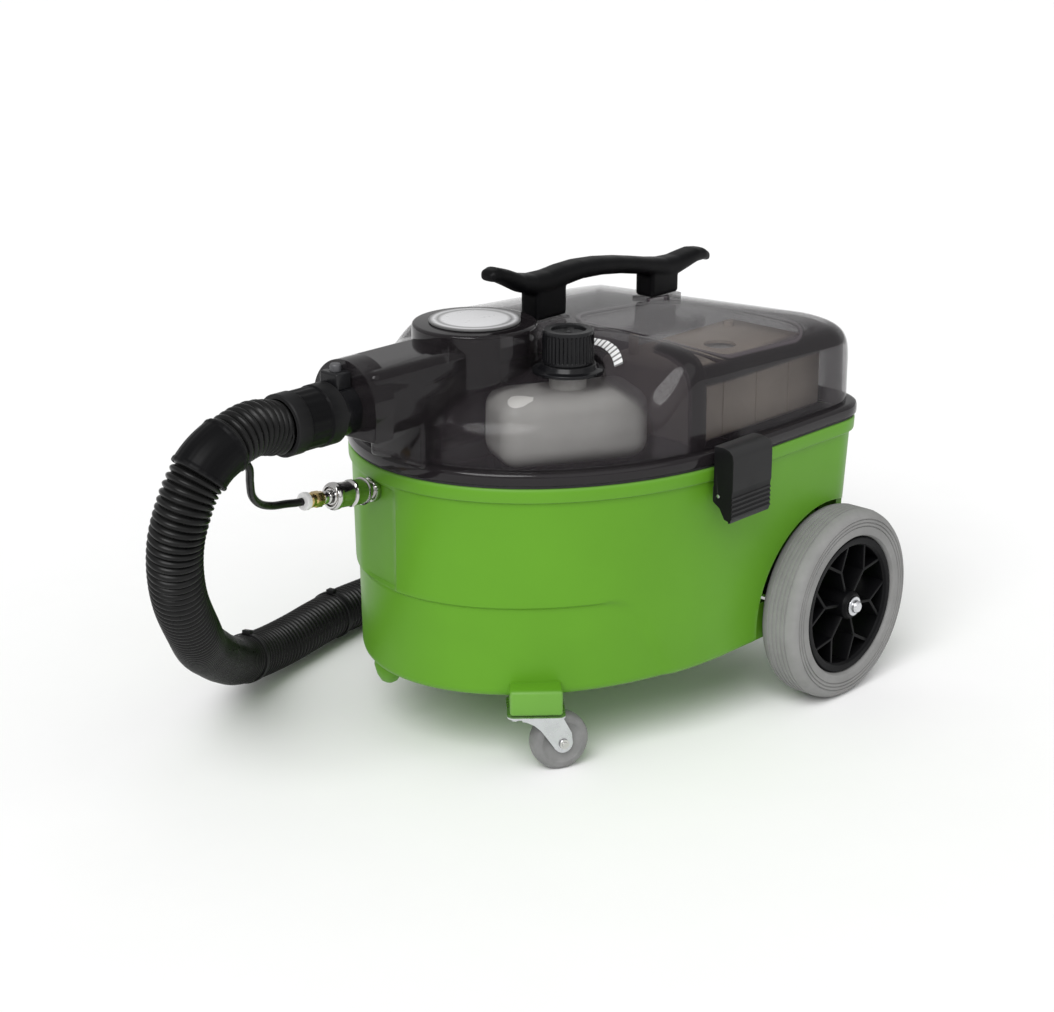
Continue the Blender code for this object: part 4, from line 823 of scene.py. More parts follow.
def make_tub():
    heights = [(TUB_BOTTOM_Z, 0.0065, 0.0), (TUB_BOTTOM_Z + 0.0005, 0.0040, 0.0),
               (TUB_BOTTOM_Z + 0.0015, 0.0022, 0.0), (TUB_BOTTOM_Z + 0.0032, 0.0008, 0.0),
               (TUB_BOTTOM_Z + 0.006, 0.0, 0.0)]
    z = TUB_BOTTOM_Z + 0.009
    band_z = TUB_TOP_Z - BAND_HEIGHT
    while z < band_z - 0.003:
        heights.append((z, 0.0, 0.0))
        z += 0.0026
    heights += [(band_z - 0.0015, 0.0, 0.0), (band_z - 0.0002, 0.0, 0.12), (band_z + 0.0004, 0.0, 0.6),
                (band_z + 0.0012, 0.0, 0.92), (band_z + 0.0022, 0.0, 1.0), (TUB_TOP_Z - 0.0035, 0.0, 1.0),
                (TUB_TOP_Z - 0.0012, 0.0003, 1.0), (TUB_TOP_Z - 0.0003, 0.0010, 1.0),
                (TUB_TOP_Z, 0.0018, 1.0)]
    bm = bmesh.new()
    rings = []
    for z, inset, band in heights:
        rings.append([tub_point(x, y, z) for x, y in tub_plan(z, inset, band)])
    for z in (TUB_TOP_Z, TUB_TOP_Z - 0.05, 0.17, TUB_BOTTOM_Z + WALL + 0.004):
        rings.append([inner_point(x, y, z) for x, y in tub_plan(z, WALL + 0.0035, 0.5 if z > 0.2 else 0.0)])
    rings.append([inner_point(x, y, TUB_BOTTOM_Z + WALL) for x, y in tub_plan(TUB_BOTTOM_Z, WALL + 0.010)])
    skin(bm, rings)
    tub = finish_mesh("tub_shell", bm, GREEN)

    for side in SIDES.values():
        arch = lathe("arch", [(0.104, 0.0), (0.104, 0.06)], GREEN, (0, side * 0.186, WHEEL_RADIUS),
                     (0, side, 0), 96)
        cut(tub, arch)
    channel = block_piece("channel", (-0.0063, -0.3, 0.06), (0.0063, 0.3, 0.1063), GREEN, 0.0)
    cut(tub, channel)
    toe = lathe("toe", mm((0, 26), (12.5, 26), (15, 4), (12.5, -6), (8.5, -13), (4, -15.8), (0, -16)), GREEN,
                (-0.372, 0.062, 0.062), sides=40)
    join(tub, toe)
    for x, y in CASTER_PLACES.values():
        pad = bmesh.new()
        half = 0.025
        block(pad, (x - half, y - half, 0.0668), (x + half, y + half, 0.092), 0.003,
              turn=Matrix.Rotation(math.radians(45), 3, "Z"))
        join(tub, finish_mesh("pad", pad, GREEN))
    hole = lathe("hole", [(0.0096, -0.03), (0.0096, 0.03)], GREEN, COUPLER_PLACE, COUPLER_AXIS, 48)
    cut(tub, hole)
    for y in SWITCH_YS:
        window = block_piece("window", (0.045, y - 0.0115, SWITCH_Z - 0.0155),
                             (0.075, y + 0.0115, SWITCH_Z + 0.0155), GREEN, 0.0)
        cut(tub, window)
    gland = lathe("gland", [(0.0083, -0.03), (0.0083, 0.03)], GREEN, (0.0575, 0, CORD_INLET_Z), (1, 0, 0), 40)
    cut(tub, gland)
    for z in GRILLE_ZS:
        slot = block_piece("slot", (0.045, -0.040, z - 0.0025), (0.075, 0.040, z + 0.0025), GREEN, 0.001)
        cut(tub, slot)
    sharpen(tub)
    # Faces above 0.206 that face inward, the tub's inner wall, get the near-black tank material: painted
    # shade inside the tub under the lid.
    dress(tub, GREEN, TANK)
    for face in tub.data.polygons:
        c, n = face.center, face.normal
        out = Vector((c.x - min(max(c.x, TUB_NOSE_X), 0.0), c.y, 0)).normalized()
        face.material_index = int(c.z > 0.206 and n.dot(out) < -0.3 and abs(c.y) < 0.2045)
    stand_in(tub, "tub", "base")
    return tub


CASTER_PLACES = {"near": (-0.352, -0.118), "far": (-0.240, 0.118)}
make_tub()


# ================================================================ the lid
LID_SHOULDER_Z = 0.350
LID_CROWN_Z = 0.400
LID_BLOCK_X = -0.212
LID_SLOPE = 0.052
LID_MIDDLE_X = -0.140
CAP_PLACE = (-0.277, -0.090)
FILLER_Z = 0.3776
LABEL_Z = 0.4168
SPIGOT_X = -0.400
BUTTON_X = -0.4895
DUCT_HALF = 0.036
BOTTLE_PLACE = (-0.279, -0.090)
BOTTLE_TURN = -28.0


def far_fall(y):
    """The roof falls away on the far side."""
    return 0.022 * (max(0.0, y) / 0.16) ** 2


def roof_height(x, share, y=0.0):
    nose = LID_BASE_Z + (LID_SHOULDER_Z - LID_BASE_Z) * (1 - share ** 24) ** 0.25
    nose += (LID_CROWN_Z - LID_SHOULDER_Z) * (1 - share ** 2)
    plane = LID_CROWN_Z + 0.002 - LID_SLOPE * (x - LID_BLOCK_X) - min(0.03, far_fall(y))
    boxy = LID_BASE_Z + (plane - LID_BASE_Z) * (1 - share ** 10) ** 0.125
    blend = smoothstep(LID_BLOCK_X - 0.045, LID_BLOCK_X + 0.005, x)
    return nose + (boxy - nose) * blend


def lid_plan(inset):
    """The lid's outline stands a millimetre proud of the tub's band."""
    return plan(TUB_HALF_WIDTH + 0.001 - inset, TUB_FRONT_REACH + 0.001 - inset, TUB_REAR_X + 0.001 - inset,
                TUB_CORNER)


def dome_rings(inset, drop, shares):
    foot = lid_plan(inset)
    rings = []
    for share in shares:
        ring = []
        for x, y in foot:
            px = LID_MIDDLE_X + (x - LID_MIDDLE_X) * share
            ring.append((px, y * share, roof_height(px, share, y * share) - drop))
        rings.append(ring)
    return foot, rings


DOME_SHARES = [0.9995, 0.998, 0.995, 0.990, 0.982, 0.972, 0.960, 0.945, 0.930, 0.912, 0.892, 0.870, 0.845,
               0.815, 0.78, 0.74, 0.69, 0.63, 0.56, 0.48, 0.39, 0.29, 0.18, 0.08, 0.01]


def make_lid():
    bm = bmesh.new()
    rings = []
    for inset, z in ((0.0012, LID_LOW_Z), (0.0003, LID_LOW_Z + 0.0006), (0.0, LID_LOW_Z + 0.002),
                     (0.0, LID_BASE_Z - 0.0045), (0.0006, LID_BASE_Z - 0.002), (0.0020, LID_BASE_Z - 0.0006),
                     (0.0040, LID_BASE_Z)):
        rings.append([(x, y, z) for x, y in lid_plan(inset)])
    foot, dome = dome_rings(0.008, 0.0, DOME_SHARES)
    rings.append([(x, y, LID_BASE_Z + 0.0001) for x, y in foot])
    skin(bm, rings + dome)
    lid = finish_mesh("lid_shell", bm, SMOKE)

    turret = rounded(mm((0, 320), (62, 320), (60.5, 372), (60, 416.5), (0, 416.5)), 0.0035, 4)
    join(lid, lathe("turret", turret, SMOKE, (TURRET_X, 0, 0), sides=96))
    duct = bmesh.new()
    block(duct, (-0.475, -DUCT_HALF, 0.3415), (TURRET_X, DUCT_HALF, 0.404), 0.008, 5)
    join(lid, finish_mesh("duct", duct, SMOKE))
    join(lid, block_piece("apron", (-0.4165, -DUCT_HALF, LID_BASE_Z - 0.004), (TURRET_X, 0.036, 0.362), SMOKE,
                          0.004))
    arch = [(-0.0385, 0.3400), (0.0385, 0.3400)]
    arch += arc(0.0, 0.371, 0.041, range(-18, 199, 6))
    collar = slab(bmesh.new(), arch, -0.4798, -0.455, "YZ", 0.0018, 3)
    join(lid, finish_mesh("collar", collar, SMOKE))
    for x in HANDLE_POSTS:
        top = handle_foot(x) - GAP
        pad = block(bmesh.new(), (x - 0.0235, -0.0138, top - 0.012), (x + 0.0235, 0.0138, top), 0.0012)
        join(lid, finish_mesh("pad", pad, SMOKE))
    land = rounded([(0.0, FILLER_Z - 0.012), (0.0355, FILLER_Z - 0.012), (0.0355, FILLER_Z - 0.0003),
                    (0.0, FILLER_Z - 0.0003)], 0.0008)
    join(lid, lathe("land", land, SMOKE, (*CAP_PLACE, 0), sides=64))

    inner_foot, inner = dome_rings(0.008 + WALL, WALL, DOME_SHARES[2:])
    space = bmesh.new()
    skin(space, [[(x, y, LID_LOW_Z - 0.004) for x, y in inner_foot],
                 [(x, y, LID_BASE_Z - 0.004) for x, y in inner_foot]] + inner)
    hollow = finish_mesh("space", space, SMOKE)
    keep = lathe("keep", [(0.039, FILLER_Z - WALL), (0.039, 0.43)], SMOKE, (*CAP_PLACE, 0), sides=64)
    cut(hollow, keep)
    cut(lid, hollow)
    room = lathe("room", [(0.057, 0.316), (0.057, 0.4135)], SMOKE, (TURRET_X, 0, 0), sides=96)
    cut(lid, room)
    bore = lathe("bore", [(0.0246, 0.0), (0.0246, 0.19)], SMOKE, (-0.30, 0, INLET_Z), (-1, 0, 0), 64)
    cut(lid, bore)
    clear = lathe("clear", [(0.0358, FILLER_Z), (0.0358, 0.43)], SMOKE, (*CAP_PLACE, 0), sides=64)
    cut(lid, clear)
    neck = lathe("neck", [(0.019, 0.35), (0.019, 0.41)], SMOKE, (*CAP_PLACE, 0), sides=48)
    cut(lid, neck)
    dress(lid, SMOKE)
    stand_in(sharpen(lid), "lid", "lid")
    return lid


HANDLE_POSTS = (-0.2125, -0.039)
HANDLE_POST = 0.057


def handle_foot(x):
    highest = max(LID_BLOCK_X, x - HANDLE_POST / 2 - 0.002)
    return LID_CROWN_Z + 0.002 - LID_SLOPE * (highest - LID_BLOCK_X) + 0.0012


def make_handle():
    """A rounded bar that dips over each post and ends in two horns, melted into its posts."""
    # x, height of the top, thickness, half width
    stations = mm((-294.5, 459, 6, 6), (-291, 462.5, 11, 9.5), (-282, 464.2, 14.5, 12), (-268, 460, 17, 12.8),
                  (-250, 452.8, 19, 13), (-232, 449.4, 20.5, 13), (-212, 449.2, 21.5, 13),
                  (-190, 451.5, 20.5, 13), (-165, 452.4, 19, 13), (-135, 450.5, 18.2, 13),
                  (-105, 446.5, 17.8, 13), (-78, 441.5, 18, 13), (-55, 436.8, 19, 13), (-35, 433.6, 20, 13),
                  (-15, 433, 19.5, 13), (0, 434.8, 17.5, 12.8), (15, 436.2, 15, 12.5), (28, 434.5, 13, 11.5),
                  (36, 430, 10.5, 9.5), (39.5, 426, 6, 6))
    rings = []
    for x, top, thick, wide in stations:
        z = top - thick / 2
        ring = []
        for step in range(32):
            angle = 2 * math.pi * step / 32
            c, n = math.cos(angle), math.sin(angle)
            ring.append((x, wide * math.copysign(abs(c) ** 0.6, c),
                         z + thick / 2 * math.copysign(abs(n) ** 0.7, n)))
        rings.append(ring)
    bm = bmesh.new()
    skin(bm, rings)
    for x in HANDLE_POSTS:
        foot = handle_foot(x) + 0.0003
        grip = 0.440 if x < -0.1 else 0.425
        block(bm, (x - 0.0215, -0.0118, foot), (x + 0.0215, 0.0118, grip), 0.003, 3)
    handle = remesh(finish_mesh("carrying_handle", bm, BLACK), 0.0013, 5)
    stand_in(handle, "handle", "lid")


make_lid()
make_handle()


# ================================================================ on and under the lid
def label_material():
    """A printed ring round a plain disc."""
    material, shader, tree = node_material("label_print")
    where = add(tree, "ShaderNodeTexCoord")
    radius = add(tree, "ShaderNodeVectorMath", operation="LENGTH")
    shift = add(tree, "ShaderNodeVectorMath", operation="SUBTRACT")
    shift.inputs[1].default_value = (TURRET_X, 0, LABEL_Z + 0.0018)
    tree.links.new(where.outputs["Object"], shift.inputs[0])
    tree.links.new(shift.outputs["Vector"], radius.inputs[0])
    rings = ramp(tree, radius.outputs["Value"], [(0.0, (0.66, 0.66, 0.67)), (0.0345, (0.66, 0.66, 0.67)),
                                                 (0.0352, (0.20, 0.20, 0.20)), (0.0360, (0.62, 0.62, 0.63)),
                                                 (0.0412, (0.66, 0.66, 0.67)), (0.0422, (0.12, 0.12, 0.12))])
    tree.links.new(rings, shader.inputs["Base Color"])
    tree.links.new(spread_range(tree, noise_at(tree, 80.0), 0.25, 0.4), shader.inputs["Roughness"])
    return material


def make_lid_fittings():
    disc = rounded(mm((0, 0), (44, 0), (44, 2.2), (0, 2.2)), 0.0006)
    label = lathe("turret_label_disc", disc, label_material(), (TURRET_X, 0, LABEL_Z), sides=96, body="lid")
    stand_in(label, "turret_label")

    spigot = lathe("inlet_spigot_tube", rounded(mm((21.3, 0), (24.3, 0), (24.3, 99.5), (24.3, 129.8),
                                                   (21.3, 129.8)), 0.0007), GLOSS_BLACK,
                   (SPIGOT_X, 0, INLET_Z), (-1, 0, 0), 64, ring=True)
    housing = bmesh.new()
    block(housing, (-0.4988, -0.0118, 0.388), (-0.4805, 0.0118, 0.4040), 0.0022, 4)
    join(spigot, finish_mesh("housing", housing, GLOSS_BLACK))
    cut(spigot, lathe("way", [(0.0213, -0.05), (0.0213, 0.2)], GLOSS_BLACK, (SPIGOT_X, 0, INLET_Z),
                      (-1, 0, 0), 64))
    cut(spigot, lathe("well", [(0.0056, 0.3968), (0.0056, 0.42)], GLOSS_BLACK, (BUTTON_X, 0, 0), sides=40))
    stand_in(sharpen(spigot), "inlet_spigot", "lid")
    button = rounded(mm((0, 0), (5.2, 0), (5.2, 8.6), (4, 10.4), (0, 9.9)), 0.0008)
    knob = lathe("hose_release_knob", button, GREY, (BUTTON_X, 0, 0.4005), sides=40, body="release_button")
    stand_in(knob, "hose_release_button")

    profile = mm((24.7, 0.2), (27.8, 0.2), (28.8, 1.2), (28.8, 16.8), (27.6, 18.5))
    profile += [(0.0280, 0.020 + 0.002 * i) for i in range(11)]
    profile += mm((27.6, 41.5), (28.8, 43), (28.8, 57.5), (27.8, 58.8), (24.7, 58.8))
    cuff = lathe("hose_cuff_shell", profile, BLACK, (-0.500, 0, INLET_Z), (-1, 0, 0), 120,
                 flutes(0.0006, 20, 0.0270, 0.019, 0.041), ring=True, body="lid")
    stand_in(cuff, "hose_cuff")

    cap_profile = mm((19.5, 0), (24, 0), (24.5, 0.8), (24.5, 2.6), (24.5, 3.4), (24.5, 27.5), (24.5, 28.5),
                     (24, 30.5), (22.8, 31.5), (17.2, 31.5), (16.4, 30.8), (16, 29), (5, 29), (4.2, 29.6),
                     (0, 29.8))
    cap = lathe("bottle_cap_ribbed", cap_profile, GLOSS_BLACK, (*CAP_PLACE, 0.3868), sides=216,
                wave=flutes(0.0011, 36, 0.0240, 0.003, 0.028, 2), body="cap")
    stand_in(cap, "bottle_cap")
    collar = rounded(mm((19.3, 0), (34, 0), (33.8, 3), (28.5, 4), (26.2, 8.7), (19.3, 8.7)), 0.0008)
    flange = lathe("filler_collar_ring", collar, GLOSS_BLACK, (*CAP_PLACE, FILLER_Z), sides=96, ring=True,
                   body="lid")
    stand_in(flange, "filler_collar")


def make_inside_of_turret():
    """The dark pipe under the label that turns the dirty water down, with the deflector below it."""
    pipe = rounded(mm((21.5, 318), (26, 318), (26.5, 322), (24.5, 336), (24.5, 408.5), (33, 413), (33, 413.3),
                      (21.5, 413.3)), 0.0008)
    piece = lathe("turret_downpipe", pipe, TANK, (TURRET_X, 0, 0), sides=64, ring=True, body="lid")
    stand_in(piece, "lid")
    bm = block(bmesh.new(), (-0.392, -0.034, 0.2925), (-0.262, 0.034, 0.312), 0.004)
    well = finish_mesh("turret_deflector", bm, TANK)
    cut(well, block_piece("hollow", (-0.388, -0.030, 0.2955), (-0.266, 0.030, 0.33), TANK, 0.003))
    stand_in(sharpen(well), "lid", "lid")


def ticks_material():
    """Even marks round the filler, in place of print."""
    material, shader, tree = node_material("arc_print")
    x, y, _ = machine_place(tree)
    angle = (y - CAP_PLACE[1]).step("ARCTAN2", x - CAP_PLACE[0])
    marks = (angle * 9.0).step("FRACT").off(0.5).below(0.16, 0.02)
    tone = mixed(tree, marks.socket, (0.75, 0.75, 0.75), (0.16, 0.16, 0.16))
    tree.links.new(tone, shader.inputs["Base Color"])
    tree.links.new(spread_range(tree, noise_at(tree, 90.0), 0.3, 0.45), shader.inputs["Roughness"])
    return material


def make_arc_label():
    """A thin printed strip that follows the dome round the filler."""
    lid = bpy.data.objects["lid_shell"]
    bpy.context.view_layer.update()
    rings = []
    for step in range(25):
        angle = math.radians(-42 + 84 * step / 24)
        ring = []
        for radius, lift in ((0.0440, 0.0001), (0.0520, 0.0001), (0.0520, 0.0006), (0.0440, 0.0006)):
            x = CAP_PLACE[0] + radius * math.cos(angle)
            y = CAP_PLACE[1] + radius * math.sin(angle)
            hit, place, _, _ = lid.ray_cast((x, y, 0.48), (0, 0, -1))
            ring.append((x, y, (place.z if hit else 0.38) + lift))
        rings.append(ring)
    bm = bmesh.new()
    skin(bm, rings)
    strip = finish_mesh("filler_arc_label", bm, ticks_material(), body="lid")
    stand_in(strip, "lid")


def make_bottle():
    """A square-shouldered bottle with a slight waist."""
    bm = bmesh.new()
    length, width, low, high = 0.148, 0.074, 0.2936, 0.3628
    block(bm, (-length / 2, -width / 2, low), (length / 2, width / 2, high), 0.019, 6)
    for vert in bm.verts:
        waist = 1 - 0.035 * math.exp(-((vert.co.z - 0.330) / 0.010) ** 2)
        vert.co.x *= waist
        vert.co.y *= waist
    turn = Matrix.Translation(Vector((*BOTTLE_PLACE, 0))) @ Matrix.Rotation(math.radians(BOTTLE_TURN), 4, "Z")
    bmesh.ops.transform(bm, matrix=turn, verts=bm.verts)
    bottle = finish_mesh("defoamer_bottle_body", bm, MILKY)
    neck = lathe("neck", [(0.0178, 0.352), (0.0178, 0.4065)], MILKY, (*CAP_PLACE, 0), sides=48)
    join(bottle, neck)
    sharpen(bottle, 50)
    stand_in(bottle, "defoamer_bottle", "lid")


def make_air_box():
    bm = bmesh.new()
    low, high = 0.3017, 0.3718
    block(bm, (-0.195, -0.1768, low), (0.008, -0.0602, high), 0.0045, 4)
    box = finish_mesh("air_box_shell", bm, BEIGE)
    space = block_piece("space", (-0.1922, -0.174, low - 0.01), (0.0052, -0.063, high - 0.003), BEIGE, 0.003)
    cut(box, space)
    port = lathe("port", [(0.016, 0.36), (0.016, 0.38)], BEIGE, (-0.085, -0.120, 0), sides=48)
    cut(box, port)
    for x in (-0.150, -0.098, -0.046):
        rib = block_piece("rib", (x - 0.0012, -0.1780, low + 0.004), (x + 0.0012, -0.170, high - 0.006),
                          BEIGE, 0.0006)
        join(box, rib)
    for x in (-0.170, -0.020):
        post = lathe("post", [(0.005, high - 0.003), (0.005, 0.3905 if x < -0.1 else 0.377)], BEIGE,
                     (x, -0.080, 0), sides=24)
        join(box, post)
    stand_in(sharpen(box), "air_box", "lid")


make_lid_fittings()
make_inside_of_turret()
make_arc_label()
make_bottle()
make_air_box()


# ================================================================ wheels
def make_rear_wheel(name, side):
    middle = side * WHEEL_MIDDLE_Y
    half = WHEEL_HALF
    body = name + "_wheel"
    profile = [(0.0727, half - 0.004), (0.0745, half - 0.0008), (0.0775, half - 0.0002),
               (0.0800, half - 0.0006)]
    for groove in (0.0832, 0.0868, 0.0904):
        profile += [(groove - 0.0008, half - 0.0005), (groove - 0.0003, half - 0.0016),
                    (groove + 0.0003, half - 0.0016), (groove + 0.0008, half - 0.0006)]
    profile += [(0.0935, half - 0.0012), (0.0962, half - 0.0028), (0.0984, half - 0.0060),
                (0.0996, half - 0.0100)]
    for groove in (0.010, 0.005, 0.0, -0.005, -0.010):
        profile += [(0.0999, groove + 0.0012), (0.0988, groove + 0.0006), (0.0988, groove - 0.0006),
                    (0.0999, groove - 0.0012)]
    profile += [(r, -h) for r, h in reversed(profile[:20])]
    tyre = lathe(name + "_tyre_tread", profile, TYRE, (0, middle, WHEEL_RADIUS), (0, side, 0), 144, ring=True,
                 body=body)
    stand_in(tyre, name + "_tyre")

    bm = bmesh.new()
    outer = rounded([(0.0625, 0.0165), (0.0645, half - 0.0035), (0.0705, half - 0.0030),
                     (0.0722, half - 0.005), (0.0722, 0.004 - half), (0.0700, 0.0035 - half),
                     (0.0650, 0.0045 - half), (0.0632, 0.0)], 0.0008)
    lathe(None, outer, BLACK, (0, middle, WHEEL_RADIUS), (0, side, 0), 96, ring=True, bm=bm)
    rim = finish_mesh(name + "_rim_spoked", bm, BLACK)
    hub = rounded([(0.00605, 0.0232), (0.0125, 0.0232), (0.0150, 0.0195), (0.0160, 0.006), (0.0160, -0.010),
                   (0.0140, -half), (0.00605, -half)], 0.0008)
    parts = [lathe("hub", hub, BLACK, (0, middle, WHEEL_RADIUS), (0, side, 0), 64, ring=True)]
    for spoke in range(6):
        angle = math.radians(60 * spoke + 50)
        parts.append(rib_between(middle, side, (0.013, angle), (0.0405, angle)))
        for turn in (-1, 1):
            parts.append(rib_between(middle, side, (0.0400, angle),
                                     (0.0645, angle + math.radians(17) * turn)))
    for part in parts:
        join(rim, part)
    stand_in(sharpen(rim), name + "_rim", body)

    outward = side * 0.2363
    washer = rounded(mm((0, 0), (10, 0), (10, 1.4), (7.2, 1.8), (6.8, 1.6), (6.4, 4.5), (4.8, 6.6), (0, 6.9)),
                     0.0004)
    cap = lathe(name + "_hub_cap_bolt", washer, ZINC, (0, outward, WHEEL_RADIUS), (0, side, 0), 48, body=body)
    stand_in(cap, name + "_hub_cap")


def polar(radius, angle):
    return Vector((radius * math.cos(angle), 0, WHEEL_RADIUS + radius * math.sin(angle)))


def rib_between(middle, side, first, last, deep=0.0185, thick=0.0032):
    """An upright web between two (radius, angle) places on the wheel."""
    a, b = polar(*first), polar(*last)
    along = (b - a).normalized()
    across = Vector((0, 1, 0)).cross(along)
    bm = bmesh.new()
    size = ((b - a).length + thick * 0.7, deep * 1.6, thick)
    block(bm, [-s / 2 for s in size], [s / 2 for s in size], 0.0006, 2)
    turn = Matrix((along, Vector((0, 1, 0)), across)).transposed().to_4x4()
    centre = (a + b) / 2 + Vector((0, middle + side * (0.0165 - deep * 0.8), 0))
    bmesh.ops.transform(bm, matrix=Matrix.Translation(centre) @ turn, verts=bm.verts)
    return finish_mesh("web", bm, BLACK)


for wheel_name, wheel_side in SIDES.items():
    make_rear_wheel(wheel_name, wheel_side)


# ================================================================ casters
CASTER_TRAIL = 0.024
CASTER_RADIUS = 0.029
CASTER_HEADING = -25.0
CASTER_PLATE_Z = 0.064
CASTER_PLATE_HALF = 0.028
CASTER_SCREW_REACH = 0.0285


def make_caster(name, x, y):
    half = CASTER_PLATE_HALF
    turn = Matrix.Rotation(math.radians(45), 3, "Z")
    bm = block(bmesh.new(), (x - half, y - half, CASTER_PLATE_Z + 0.0003), (x + half, y + half, 0.0664), 0.0,
               turn=turn)
    upright = [edge for edge in bm.edges if abs(edge.verts[0].co.z - edge.verts[1].co.z) > 0.001]
    bmesh.ops.bevel(bm, geom=upright, offset=0.008, segments=6, affect="EDGES", profile=0.5)
    rims = [edge for edge in bm.edges if edge.is_manifold and edge.calc_face_angle(0) > 1.0]
    bmesh.ops.bevel(bm, geom=rims, offset=0.0006, segments=2, affect="EDGES", profile=0.5)
    plate = finish_mesh(name + "_caster_plate_pressed", bm, ZINC)
    race = rounded([(0.0, CASTER_PLATE_Z - 0.0012), (0.0130, CASTER_PLATE_Z - 0.0012),
                    (0.0165, CASTER_PLATE_Z + 0.001), (0.0, CASTER_PLATE_Z + 0.001)], 0.0006)
    join(plate, lathe("race", race, ZINC, (x, y, 0), sides=64))
    for px, py in arc(x, y, CASTER_SCREW_REACH, (0, 90, 180, 270)):
        head = mm((0, 61.6), (3.8, 61.6), (4.4, 62.6), (4.4, 65), (0, 65))
        join(plate, lathe("head", head, ZINC, (px, py, 0), sides=6))
    stand_in(sharpen(plate), name + "_caster_plate", "base")

    top = CASTER_PLATE_Z - 0.0012 - GAP
    swing = Matrix.Rotation(math.radians(CASTER_HEADING), 4, "Z")
    place = Matrix.Translation((x, y, 0)) @ swing
    trail = CASTER_TRAIL
    bm = bmesh.new()
    cheek = [(-0.0185, top - 0.0004), (-0.0185, top - 0.0040), (-0.0130, top - 0.0058),
             (-0.0060, top - 0.0095)]
    cheek += [(0.0005, top - 0.0165), (trail - 0.0098, CASTER_RADIUS - 0.0030)]
    cheek += arc(trail, CASTER_RADIUS, 0.0096, range(205, 361, 15))
    cheek += [(trail + 0.0085, CASTER_RADIUS + 0.010), (0.0225, top - 0.0060), (0.0225, top - 0.0004)]
    for side in (-1, 1):
        low, high = sorted((side * 0.0116, side * 0.0134))
        slab(bm, cheek, low, high, "XZ", 0.0005, 2)
    fork = finish_mesh(name + "_caster_fork_pressed", bm, ZINC)
    bridge = block_piece("bridge", (-0.0185, -0.0134, top - 0.0022), (0.0225, 0.0134, top), ZINC, 0.0009)
    join(fork, bridge)
    dome = rounded([(0.0, top - 0.0075), (0.0070, top - 0.0070), (0.0125, top - 0.0030),
                    (0.0125, top - 0.001), (0.0, top - 0.001)], 0.001)
    join(fork, lathe("dome", dome, ZINC, (0, 0, 0), sides=40))
    bore = lathe("bore", [(0.00315, -0.03), (0.00315, 0.03)], ZINC, (trail, 0, CASTER_RADIUS), (0, 1, 0), 40)
    cut(fork, bore)
    fork.data.transform(place)
    stand_in(sharpen(fork), name + "_caster_fork", name + "_caster")

    centre = place @ Vector((trail, 0, CASTER_RADIUS))
    along = swing.to_3x3() @ Vector((0, 1, 0))
    tread = mm((3.1, 10.4), (6.8, 11), (8.5, 11), (9.2, 9.8), (19.5, 9.6), (20.8, 10.4), (24, 10.2),
               (26.6, 8.8), (28.2, 6.2), (29, 2))
    tread += [(r, -h) for r, h in reversed(tread)]
    wheel = lathe(name + "_caster_wheel_moulded", tread, CASTER_GREY, centre, along, 80, ring=True,
                  body=name + "_caster_roll")
    stand_in(wheel, name + "_caster_wheel")
    bolt = mm((0, 16.8), (2.6, 16.8), (2.8, 16), (4.8, 15.8), (5, 15), (5, 13.9), (2.9, 13.8))
    bolt += [(r, -h) for r, h in reversed(bolt)]
    pin = lathe(name + "_caster_bolt", bolt, CHROME, centre, along, 36, body=name + "_caster")
    stand_in(pin, name + "_caster_pin")


for caster_name, (caster_x, caster_y) in CASTER_PLACES.items():
    make_caster(caster_name, caster_x, caster_y)


# ================================================================ latches
LATCH_X = -0.172
LATCH_Z = 0.2625
LATCH_PIN_Y = 0.2135


